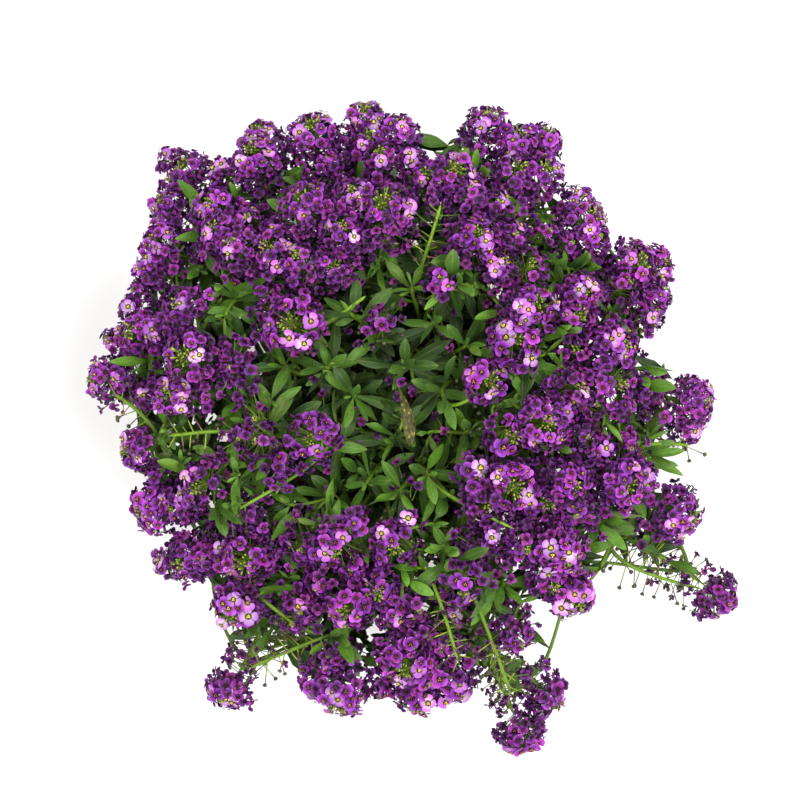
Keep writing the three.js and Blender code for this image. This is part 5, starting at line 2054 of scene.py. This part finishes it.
def petal_finish():
    """Violet that deepens with age, a deeper throat, and a yellow heart that turns maroon"""
    finish = Finish("petals", 0.5, 0.12)
    reach, edge, age, tone = finish.marks()
    life = finish.sum("DIVIDE", age, OLDEST_AGE)
    body = finish.ramp(
        life, (0.0, 226, 176, 226), (0.05, 206, 134, 214), (0.11, 186, 90, 202), (0.2, 158, 48, 176),
        (0.36, 126, 28, 142), (0.54, 92, 17, 104), (0.72, 62, 13, 70), (1.0, 34, 10, 36),
    )
    throat = finish.ramp(
        life, (0.0, 246, 226, 214), (0.07, 232, 186, 204), (0.12, 140, 56, 138), (0.24, 78, 16, 86),
        (0.5, 42, 8, 50), (1.0, 20, 5, 22),
    )
    petal = finish.mix(finish.step(reach, 0.3, 0.75, 0.94, 0.0), body, throat)
    # Petal rims and tips washed lilac: on fresh florets their own lilac margin, on older violet ones a
    # painted highlight
    rim_lilac_and_highlight = finish.step(finish.sum("ABSOLUTE", edge), 0.5, 1.0, 0.0, 0.6)
    margin = finish.sum("MAXIMUM", finish.step(reach, 0.6, 0.95), rim_lilac_and_highlight)
    margin = finish.sum("MULTIPLY", margin, finish.step(life, 0.1, 0.9, 0.5, 0.16))
    petal = finish.mix(margin, petal, tint(200, 104, 224))
    petal = finish.washed(
        petal, (finish.waves(edge, 14.0), 0.2, 1.0, 0.0, 0.2, (90, 30, 120)),
        (tone, 0.0, 0.75, 0.6, 0.0, (118, 84, 168)), blend="MULTIPLY",
    )
    petal = finish.washed(
        petal, (tone, 0.55, 1.0, 0.0, 0.3, (176, 44, 148)),
        (finish.noise(900, 2.0), 0.35, 0.75, 0.0, 0.14, (200, 120, 210)),
    )
    heart = finish.ramp(
        life, (0.0, 186, 180, 40), (0.1, 170, 152, 34), (0.18, 96, 50, 28), (0.3, 40, 9, 22),
        (1.0, 20, 6, 14),
    )
    heart = finish.washed(heart, (edge, 0.3, 0.65, 0.0, 0.95, (36, 10, 22)))
    anther = finish.ramp(
        life, (0.0, 236, 218, 96), (0.12, 224, 192, 76), (0.26, 204, 146, 58), (0.4, 140, 78, 46),
        (0.56, 70, 30, 32), (1.0, 36, 14, 22),
    )
    anther = finish.washed(anther, (finish.noise(640), 0.42, 0.6, 0.0, 0.7, (96, 50, 44)))
    middle = finish.mix(finish.step(reach, -1.6, -1.4, 1.0, 0.0), heart, anther)
    finish.paint(finish.mix(finish.step(reach, -0.6, -0.4, 1.0, 0.0), petal, middle))
    finish.bump(finish.noise(1800), 0.25, 0.0003)
    return finish.material


def bloom_green_finish():
    """Pedicels, buds and seed pods: yellow-green, with olive and violet tips"""
    finish = Finish("bloom_greens", 0.6)
    reach, edge, age, tone = finish.marks()
    stalk = finish.ramp(
        reach, (0.0, 128, 158, 42), (0.7, 98, 128, 36), (0.9, 70, 72, 36), (1.0, 70, 34, 68),
    )
    stalk = finish.washed(stalk, (age, 0.4, 1.3, 0.0, 0.45, (58, 66, 34)))
    bud = finish.ramp(
        tone, (0.0, 70, 90, 26), (0.3, 120, 142, 38), (0.6, 166, 178, 58), (0.74, 66, 62, 34),
        (0.88, 104, 42, 98), (0.95, 190, 116, 118), (1.0, 156, 166, 66),
    )
    pod = finish.ramp(tone, (0.0, 34, 28, 24), (0.5, 54, 30, 42), (1.0, 70, 66, 34))
    colour = finish.mix(finish.step(edge, 0.4, 0.6), stalk, bud)
    colour = finish.mix(finish.step(edge, 1.4, 1.6), colour, pod)
    finish.paint(finish.washed(colour, (finish.noise(1200), 0.3, 0.8, 0.0, 0.2, (140, 152, 64))))
    finish.bump(finish.noise(2400), 0.3, 0.0002)
    return finish.material


def leaf_finish():
    """Mid green blades with a paler midrib and margin, side veins and fine grey hairs"""
    finish = Finish("leaves", 0.5, 0.28)
    finish.join(0.04, finish.shader.inputs["Sheen Weight"])
    reach, edge, age, tone = finish.marks()
    aside = finish.sum("ABSOLUTE", edge)
    veins = finish.waves(finish.sum("ADD", reach, finish.sum("MULTIPLY", aside, -0.3)), 44.0)
    # The tone mark carries painted shade: leaves deep in the mound take the near-black low end of this
    # ramp
    blade = finish.ramp(tone, (0.0, 4, 10, 2), (0.3, 18, 36, 6), (0.6, 50, 84, 14), (1.0, 88, 132, 28))
    blade = finish.washed(
        blade, (age, 0.93, 1.0, 0.0, 0.32, (130, 146, 52)),
        (reach, 0.75, 1.0, 0.0, 0.2, (130, 156, 70)),
        (reach, 0.0, 0.3, 0.4, 0.0, (110, 136, 56)),
        (veins, 0.75, 1.0, 0.0, 0.1, (118, 150, 60)),
        (aside, 0.03, 0.15, 0.26, 0.0, (120, 156, 64)),
        (aside, 0.84, 1.0, 0.0, 0.26, (118, 152, 64)),
        (finish.noise(260, 4.0), 0.4, 0.7, 0.0, 0.35, (40, 70, 18)),
        (finish.noise(1500, 3.0, 0.6), 0.45, 0.66, 0.0, 0.34, (24, 46, 8)),
    )
    dried = finish.ramp(
        finish.noise(700, 4.0, 0.6), (0.32, 26, 22, 14), (0.44, 62, 60, 28), (0.6, 92, 86, 40),
        (0.72, 196, 184, 84),
    )
    blade = finish.mix(finish.step(age, 1.4, 1.6), blade, dried)
    hairs = finish.noise(5200, 2.0, 0.7)
    finish.paint(finish.washed(blade, (hairs, 0.55, 0.72, 0.0, 0.1, (170, 186, 140))))
    finish.bump(finish.noise(3800, 3.0, 0.6), 0.35, 0.0003)
    return finish.material


def stem_finish():
    """Yellow-green ribbed stems, flushed brown towards the woody crown"""
    finish = Finish("stems", 0.55, 0.3)
    reach, edge, age, tone = finish.marks()
    colour = finish.ramp(
        reach, (0.0, 84, 72, 38), (0.18, 76, 96, 28), (0.5, 98, 134, 28), (1.0, 118, 154, 36),
    )
    colour = finish.mix(finish.sum("MULTIPLY", tone, 0.4), colour, tint(78, 108, 32))
    finish.paint(finish.washed(
        colour, (finish.waves(edge, 44.0), 0.2, 1.0, 0.0, 0.22, (150, 176, 70)),
        (finish.noise(900, 4.0), 0.45, 0.75, 0.0, 0.3, (66, 84, 28)),
    ))
    finish.bump(finish.noise(1600), 0.35, 0.0003)
    return finish.material


def bark_finish():
    """Grey-brown bark with long fibres and pale cracks"""
    finish = Finish("bark", 0.85)
    fibres = finish.noise(700, 6.0, 0.7, (1.0, 1.0, 0.18))
    colour = finish.ramp(
        fibres, (0.28, 70, 54, 36), (0.48, 122, 102, 68), (0.66, 156, 140, 100), (0.8, 96, 80, 54),
    )
    finish.paint(finish.washed(colour, (finish.noise(240), 0.52, 0.7, 0.0, 0.45, (112, 122, 64))))
    finish.bump(fibres, 0.7, 0.001)
    return finish.material


def soil_finish():
    """Dark peat with fibres, and specks of white perlite"""
    finish = Finish("potting_mix", 0.95)
    colour = finish.ramp(
        finish.noise(420, 7.0, 0.68), (0.25, 26, 19, 14), (0.45, 56, 41, 30), (0.62, 86, 64, 46),
        (0.8, 48, 34, 24),
    )
    fibres = finish.noise(1500, 3.0, 0.6, (1.0, 0.2, 1.0))
    finish.paint(finish.washed(
        colour, (fibres, 0.6, 0.72, 0.0, 0.5, (122, 94, 66)),
        (finish.mark("tone"), 1.4, 1.6, 0.0, 1.0, (222, 218, 208)),
    ))
    finish.bump(finish.noise(900, 6.0, 0.7), 0.8, 0.0012)
    return finish.material


def pot_finish():
    """Matt moulded plastic of a terracotta colour, with a fine grain, dust and faint scuffs"""
    finish = Finish("pot_plastic", 0.62, 0.4)
    clouds = finish.step(finish.noise(28, 4.0), 0.3, 0.75)
    colour = finish.mix(clouds, tint(168, 96, 64), tint(180, 108, 74))
    height = finish.nodes.new("ShaderNodeSeparateXYZ")
    finish.join(finish.place(), height.inputs["Vector"])
    dust = finish.step(finish.noise(90, 5.0, 0.65), 0.5, 0.72, 0.0, 0.4)
    low = finish.step(height.outputs["Z"], 0.0, 0.03, 1.0, 0.0)
    colour = finish.mix(finish.sum("MULTIPLY", dust, low), colour, tint(196, 160, 132))
    finish.paint(finish.washed(
        colour, (finish.noise(60, 3.0, 0.6, (1.0, 1.0, 14.0)), 0.64, 0.72, 0.0, 0.3, (206, 146, 114)),
        (finish.noise(1400, 2.0), 0.62, 0.7, 0.0, 0.25, (134, 72, 46)),
    ))
    finish.bump(finish.noise(1600), 0.18, 0.0004)
    return finish.material


def floor_finish():
    finish = Finish("pale_floor", 0.9)
    finish.paint(finish.ramp(finish.noise(3, 2.0), (0.3, 246, 246, 246), (0.7, 250, 250, 250)))
    return finish.material


# Pot, potting mix and woody crown

POT_SIDES = 96
POT_UNDERSIDE = 1.2
RIM_ROUND = 1.0
RIM_STEPS = 6
BAND_LEVELS = (14, 70)
BAND_RISE = 0.5
BAND_HEIGHT = 2.4
BORE_SIDES = 28
SLOPE = (POT_TOP_RADIUS - POT_FOOT_RADIUS) / POT_HEIGHT


def wall_radius(level):
    return POT_FOOT_RADIUS + SLOPE * level


def hoops(radii, levels, turns):
    """Rings of points round the pot's axis, whose radii and levels may change with the turn"""
    x, y, z = np.broadcast_arrays(radii * np.cos(turns), radii * np.sin(turns), levels)
    return np.stack([x, y, z], axis=2)


def lathe(profile, sides):
    """Points and quads of a turned shape, whose first and last points lie on the axis"""
    radii, levels = np.array(profile, float).T
    rings = hoops(radii[1:-1, None], levels[1:-1, None], even_turns(sides))
    points = np.vstack([rings.reshape(-1, 3), [0, 0, levels[0]], [0, 0, levels[-1]]])
    last = (len(profile) - 3) * sides
    faces = [
        (low + side, low + (side + 1) % sides, low + sides + (side + 1) % sides, low + sides + side)
        for low in range(0, last, sides)
        for side in range(sides)
    ]
    for side in range(sides):
        following = (side + 1) % sides
        faces.append((len(points) - 2, following, side))
        faces.append((len(points) - 1, last + side, last + following))
    return points, faces


def plain_mesh(name, points, faces):
    mesh = bpy.data.meshes.new(name)
    mesh.from_pydata([tuple(point) for point in np.asarray(points) * MM], [], faces)
    mesh.polygons.foreach_set("use_smooth", np.ones(len(mesh.polygons), bool))
    return mesh


def band_profile(level):
    """A raised band with softened edges"""
    foot, top = wall_radius(level), wall_radius(level + BAND_HEIGHT)
    crest = wall_radius(level + 1) + BAND_RISE
    return [
        (foot, level),
        (foot + BAND_RISE * 0.7, level + 0.3),
        (crest, level + 0.8),
        (crest, level + BAND_HEIGHT - 0.8),
        (wall_radius(level + 2) + BAND_RISE * 0.7, level + BAND_HEIGHT - 0.3),
        (top, level + BAND_HEIGHT),
    ]


def rim_profile():
    """A rolled rim, from the ledge under it to the wall inside"""
    ledge = POT_HEIGHT - RIM_HEIGHT
    under, top = wall_radius(ledge), POT_TOP_RADIUS + RIM_OUT
    inner = wall_radius(POT_HEIGHT) - POT_WALL
    profile = [
        (wall_radius(ledge - 0.6), ledge - 0.6),
        (under + 0.4, ledge - 0.1),
        (under + RIM_OUT - 0.5, ledge + 0.1),
        (under + RIM_OUT - 0.1, ledge + 0.4),
        (under + RIM_OUT, ledge + 0.9),
    ]
    for angle in np.linspace(0, math.pi / 2, RIM_STEPS + 1):
        back, drop = RIM_ROUND * (1 - math.cos(angle)), RIM_ROUND * (1 - math.sin(angle))
        profile.append((top - back, POT_HEIGHT - drop))
    profile += [(inner + 0.5, POT_HEIGHT), (inner + 0.1, POT_HEIGHT - 0.2)]
    return profile + [(inner, POT_HEIGHT - 0.7)]


def pot_profile():
    """Outline of the pot's wall, up the outside from the middle of its foot and down the inside"""
    profile = [
        (0, POT_UNDERSIDE),
        (POT_FOOT_RADIUS - 3.5, POT_UNDERSIDE),
        (POT_FOOT_RADIUS - 2.6, 0.0),
        (POT_FOOT_RADIUS - 0.8, 0.0),
        (POT_FOOT_RADIUS - 0.2, 0.25),
        (wall_radius(0.9), 0.9),
    ]
    for level in BAND_LEVELS:
        profile += band_profile(level)
    profile += rim_profile()
    profile += [(wall_radius(level) - POT_WALL, level) for level in (70, 45, 20, POT_FLOOR + 1.5)]
    inner = wall_radius(POT_FLOOR) - POT_WALL
    return profile + [(inner - 0.5, POT_FLOOR + 0.3), (inner - 1.5, POT_FLOOR), (0, POT_FLOOR)]


def pot_mesh():
    """Turned wall and rim, with the drain holes cut through the floor"""
    shell = link("shell", plain_mesh("shell", *lathe(pot_profile(), POT_SIDES)))
    bore, bore_faces = lathe([(0, -2), (DRAIN_RADIUS, -2), (DRAIN_RADIUS, 5), (0, 5)], BORE_SIDES)
    points, faces = [], []
    for turn in even_turns(DRAIN_HOLES):
        faces += [tuple(corner + len(points) for corner in face) for face in bore_faces]
        points += list(bore + polar(DRAIN_REACH, turn, 0))
    drill = link("drill", plain_mesh("drill", points, faces))
    cut = shell.modifiers.new("drain", "BOOLEAN")
    cut.operation = "DIFFERENCE"
    cut.solver = "EXACT"
    cut.object = drill
    ready = shell.evaluated_get(bpy.context.evaluated_depsgraph_get())
    mesh = bpy.data.meshes.new_from_object(ready)
    for thing in (shell, drill):
        bpy.data.objects.remove(thing)
    return mesh


CRUMBS = 420
CRUMB_SIDES = 5
CRUMB_LEVELS = (-0.6, -0.1, 0.45, 0.75)
CRUMB_WIDTHS = (0.3, 0.9, 0.8, 0.12)
CRUMB_SHARES = (0.012, 0.97)
CRUMB_SIZES = (0.5, 1.5)
CRUMB_VARIES = (0.8, 1.2)
CRUMB_FORM = grid_form(len(CRUMB_LEVELS), CRUMB_SIDES, closed=True)
PERLITE_SHARE = 0.12
PERLITE_TONE = 2.0
SOIL_RINGS = 30
SOIL_SIDES = 90
SOIL_FOOT = POT_FLOOR + CLEARANCE
SOIL_SINK = 0.5
SOIL_EDGE = 4
SOIL_EDGE_DROP = 1.3
SOIL_RIPPLES = (0.25, 0.5, 0.9, 1.6, 2.6)


def soil_fit(level):
    """Radius of the space inside the pot, less a narrow gap"""
    return wall_radius(level) - POT_WALL - CLEARANCE


SOIL_TOP_RADIUS = soil_fit(SOIL_TOP - 3)


def soil_level(x, y, bumps):
    """Height of the mix: a low dome with a gentle roughness, sunk at the wall"""
    reach = np.hypot(x, y)
    fit = soil_fit(SOIL_TOP)
    dome = SOIL_CROWN * (1 - (reach / fit) ** 2)
    edge = SOIL_EDGE_DROP * np.clip((reach - fit) / SOIL_EDGE + 1, 0, 1) ** 2
    rough = sum(size * np.sin(a * x + b * y + c) for a, b, c, size in bumps)
    return SOIL_TOP - SOIL_SINK + dome - edge + rough


def soil_rows(bumps):
    """Rings of points over the foot, up the wall and in over the top"""
    turns = even_turns(SOIL_SIDES)
    reach = np.linspace(0.02, 1, SOIL_RINGS)[::-1, None] * SOIL_TOP_RADIUS
    top = soil_level(reach * np.cos(turns), reach * np.sin(turns), bumps)
    levels = np.array([SOIL_FOOT + 0.6, 15, 40, 66])[:, None]
    wall = soil_fit(levels) - 0.25 - 0.2 * np.sin(turns * 17 + levels)
    foot = np.array([0.05, 20.0, 36.0])[:, None]
    skins = ((foot, SOIL_FOOT), (wall, levels), (reach, top))
    return np.concatenate([hoops(radii, heights, turns) for radii, heights in skins])


def add_crumbs(sculpt, bumps, draw):
    """Loose grains on the top, a few of them perlite"""
    spots, tones = [], []
    for _ in range(CRUMBS):
        turn = draw.uniform(0, 2 * math.pi)
        reach = SOIL_TOP_RADIUS * math.sqrt(draw.uniform(*CRUMB_SHARES))
        x, y = reach * math.cos(turn), reach * math.sin(turn)
        spots.append((x, y, float(soil_level(x, y, bumps))))
        tones.append(PERLITE_TONE if draw.uniform() < PERLITE_SHARE else 0.0)
    sizes = draw.uniform(*CRUMB_SIZES, (CRUMBS, 1, 1, 1))
    sizes = sizes * draw.uniform(*CRUMB_VARIES, (CRUMBS, len(CRUMB_LEVELS), CRUMB_SIDES, 1))
    widths, levels = np.array(CRUMB_WIDTHS)[:, None], np.array(CRUMB_LEVELS)[:, None]
    grains = np.array(spots)[:, None, None] + hoops(widths, levels, even_turns(CRUMB_SIDES)) * sizes
    marks = marked((CRUMBS, CRUMB_FORM.size), tone=np.array(tones)[:, None])
    sculpt.add(CRUMB_FORM, grains.reshape(CRUMBS, -1, 3), 0, marks)


def build_soil(material):
    """A root ball that fills the pot, with a crumbly top and loose grains"""
    draw = np.random.default_rng(SOIL_SEED)
    bumps = [
        (*draw.normal(0, scale, 2), draw.uniform(0, 6), 0.16 / scale**0.5)
        for scale in SOIL_RIPPLES
        for _ in range(4)
    ]
    sculpt = Sculpt()
    add_rows(sculpt, soil_rows(bumps))
    add_crumbs(sculpt, bumps, draw)
    sculpt.build("potting_mix", "potting_mix", [material], "root_ball")


NECK_RINGS = 22
NECK_SIDES = 26
LIMB_RINGS = 12
LIMB_SIDES = 9
LIMB_FORM = grid_form(LIMB_RINGS, LIMB_SIDES, closed=True)


def neck_rows():
    """Fluted neck that widens upward and rounds in at its top"""
    shares = np.linspace(0, 1, NECK_RINGS)[:, None]
    turns = even_turns(NECK_SIDES)
    radius = CROWN_RADIUS * (0.86 + 0.35 * shares**2 - 0.9 * np.clip(shares - 0.86, 0, 1))
    radius[-1] = 0.2
    flutes = 1 + 0.07 * np.sin(turns * 6 + shares * 3) + 0.04 * np.sin(turns * 11 - shares * 9)
    foot = SOIL_TOP - 4
    return hoops(radius * flutes, foot + (CROWN_TOP - foot) * shares, turns)


def build_crown(material, sprays):
    """Woody neck, fluted and knotted, that divides into a short limb for each spray"""
    sculpt = Sculpt()
    add_rows(sculpt, neck_rows())
    for spray in sprays:
        start, heading = spray.stem.point(0), spray.stem.heading(0)
        out = outward_of(start)
        corners = [
            out * 1.5 + UP * (start[2] - 3),
            out * 6 + UP * (start[2] - 1),
            start - heading * 4,
            start + heading * 2,
        ]
        limb, shares = course_points(Course(corners, -1), LIMB_RADII, LIMB_RINGS, LIMB_SIDES)
        along = np.repeat(shares, LIMB_SIDES)[None]
        sculpt.add(LIMB_FORM, limb, 0, marked(limb.shape[:2], along))
    sculpt.build("crown_wood", "crown_bark", [material], "crown")


# Pieces


def build_pot():
    mesh = pot_mesh()
    mesh.materials.clear()
    mesh.materials.append(pot_finish())
    dress("pot_shell", mesh, "pot_plastic", "pot")


def of_spray(spray, courses):
    """The courses, out of rows that end with their owner, that grow from one spray"""
    return [row[0] for row in courses if row[-1] is spray]


def build_spray(spray, materials):
    draw = np.random.default_rng(SPRAY_SEED + spray.index)
    sculpt = Sculpt()
    add_stem(sculpt, spray.stem, MAIN_STEM_RADII, draw.uniform())
    leaves = spray.leaves + side_leaves(spray.stem, STEM_EXTRA_PLACES, draw)
    for stalk, _ in spray.stalks:
        add_stem(sculpt, stalk, STALK_RADII, draw.uniform())
        leaves += side_leaves(stalk, STALK_EXTRA_PLACES, draw)
    for shoot in spray.shoots:
        add_stem(sculpt, shoot, SHOOT_RADII, draw.uniform())
        leaves += tuft_leaves(shoot, TUFT_LEAVES, TUFT_FROM, draw)
    for twig in of_spray(spray, twigs):
        add_stem(sculpt, twig, TWIG_RADII, draw.uniform())
    for shoot in of_spray(spray, low_shoots):
        add_stem(sculpt, shoot, LOW_SHOOT_RADII, draw.uniform())
        leaves += tuft_leaves(shoot, TUFT_LEAVES, LOW_TUFT_FROM, draw)
    for course in of_spray(spray, open_stems):
        add_stem(sculpt, course, OPEN_STEM_RADII, 0.0)
    if spray.index == nearest_spray(from_plan(*DRY_LEAF[:3])):
        leaves.append(dry_leaf())
    deep = [leaf for leaf in leaves if leaf.tip[2] < PLAIN_LEAF_LEVEL]
    add_leaves(sculpt, [leaf for leaf in leaves if leaf.tip[2] >= PLAIN_LEAF_LEVEL], FINE_BLADE, draw)
    for shoot in of_spray(spray, deep_shoots):
        add_stem(sculpt, shoot, LOW_SHOOT_RADII, 1.0)
        deep += tuft_leaves(shoot, DEEP_TUFT_LEAVES, LOW_TUFT_FROM, draw)
    add_leaves(sculpt, deep, DEEP_BLADE, draw)
    number = f"{spray.index + 1:02d}"
    sculpt.build(f"spray_{number}_foliage", "foliage", materials, f"spray_{number}")


def build_bunch(bunch, materials):
    draw = np.random.default_rng(BUNCH_SEED + bunch)
    sculpt, posy = Sculpt(), Posy()
    for head in all_heads:
        if head.bunch != bunch:
            continue
        bud_edge = dome_posy(head, posy, draw)
        add_bud_tuft(sculpt, head, bud_edge, draw)
        run, start = skirt_posy(head, posy, draw)
        head_brush(sculpt, head, run, start, posy, draw)
    for course, pods, head, _ in open_stems:
        if pods and head.bunch == bunch:
            line = course.run(WALK_SAMPLES + 1)[::-1]
            add_brush(sculpt, measured(line), OPEN_STEM_START, pods, head, posy, draw)
    carpet_posy(bunch, posy, draw)
    for root, tip in spare_pedicels_of(bunch):
        add_buds(sculpt, [root], [tip], KNOB_RINGS, KNOB_SIDES, KNOB_MARK, draw)
    add_florets(sculpt, posy, draw)
    number = f"{bunch + 1:02d}"
    sculpt.build(f"bunch_{number}_flowers", "florets", materials, f"flower_bunch_{number}")


def spare_pedicels_of(bunch):
    """The planned bare pedicels, which stay with the bunch whose head is nearest"""
    return [
        (root, tip)
        for spray in sprays
        for root, tip in spray.pedicels
        if heads[nearest_to(root, PLANNED_CENTRES)[0]].bunch == bunch
    ]


build_pot()
build_soil(soil_finish())
build_crown(bark_finish(), sprays)
foliage_finishes = [leaf_finish(), stem_finish()]
for spray in sprays:
    build_spray(spray, foliage_finishes)
bloom_finishes = [petal_finish(), bloom_green_finish()]
for bunch in range(len(BUNCHES)):
    build_bunch(bunch, bloom_finishes)


# Floor, light and camera


SKY_STRENGTH = 0.28
HORIZON_STRENGTH = 0.94
HORIZON_BAND = 0.4
FLOOR_RADIUS = 1.3
FLOOR_SIDES = 96
LAMP_REACH = 1.0
LAMP_LEVEL = 1.6
LAMP_SIZE = 0.9
CAMERA_SENSOR = 36
STUDIO_LAMPS = (("key", 325, 25), ("left", 215, 15), ("back", 125, 15), ("right", 35, 17))


def build_floor():
    edge = [polar(FLOOR_RADIUS, turn, 0) for turn in even_turns(FLOOR_SIDES)]
    mesh = bpy.data.meshes.new("floor")
    mesh.from_pydata(edge, [], [range(FLOOR_SIDES)])
    mesh.materials.append(floor_finish())
    link("floor", mesh)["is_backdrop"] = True


def add_light(name, place, size, power):
    light = bpy.data.lights.new(name, "AREA")
    light.shape = "DISK"
    light.size = size
    light.energy = power
    holder = link(name, light)
    holder.location = place
    aim = UP * (PLAN_LEVEL * MM) - place
    turn = math.atan2(aim[1], aim[0]) - math.pi / 2
    holder.rotation_euler = (math.atan2(reach_of(aim), -aim[2]), 0, turn)


def build_camera():
    camera = bpy.data.cameras.new("camera")
    camera.sensor_width = CAMERA_SENSOR
    camera.lens = CAMERA_SENSOR * (EYE_HEIGHT - PLAN_LEVEL) / (PLAN_SIZE * PLAN_STEP)
    holder = link("camera", camera)
    holder.location = (0, 0, EYE_HEIGHT * MM)
    bpy.context.scene.camera = holder


def light_scene():
    """Even studio light, a little brighter near the horizon, with four soft lamps"""
    world = bpy.data.worlds.new("studio")
    world.use_nodes = True
    nodes, links = world.node_tree.nodes, world.node_tree.links
    background = nodes["Background"]
    background.inputs["Color"].default_value = (1, 1, 1, 1)
    direction = nodes.new("ShaderNodeTexCoord").outputs["Generated"]
    height = nodes.new("ShaderNodeSeparateXYZ")
    links.new(direction, height.inputs["Vector"])
    fade = nodes.new("ShaderNodeMapRange")
    fade.interpolation_type = "SMOOTHSTEP"
    fade.inputs["From Max"].default_value = HORIZON_BAND
    fade.inputs["To Min"].default_value = HORIZON_STRENGTH
    fade.inputs["To Max"].default_value = SKY_STRENGTH
    links.new(height.outputs["Z"], fade.inputs["Value"])
    links.new(fade.outputs["Result"], background.inputs["Strength"])
    bpy.context.scene.world = world
    for name, azimuth, power in STUDIO_LAMPS:
        add_light(name, polar(LAMP_REACH, math.radians(azimuth), LAMP_LEVEL), LAMP_SIZE, power)
    bpy.context.scene.view_settings.view_transform = "Standard"


build_floor()
light_scene()
build_camera()

sizes = {"cad": (cad_low, cad_high), "visual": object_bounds()}
{name: [list(corner) for corner in box] for name, box in sizes.items()}
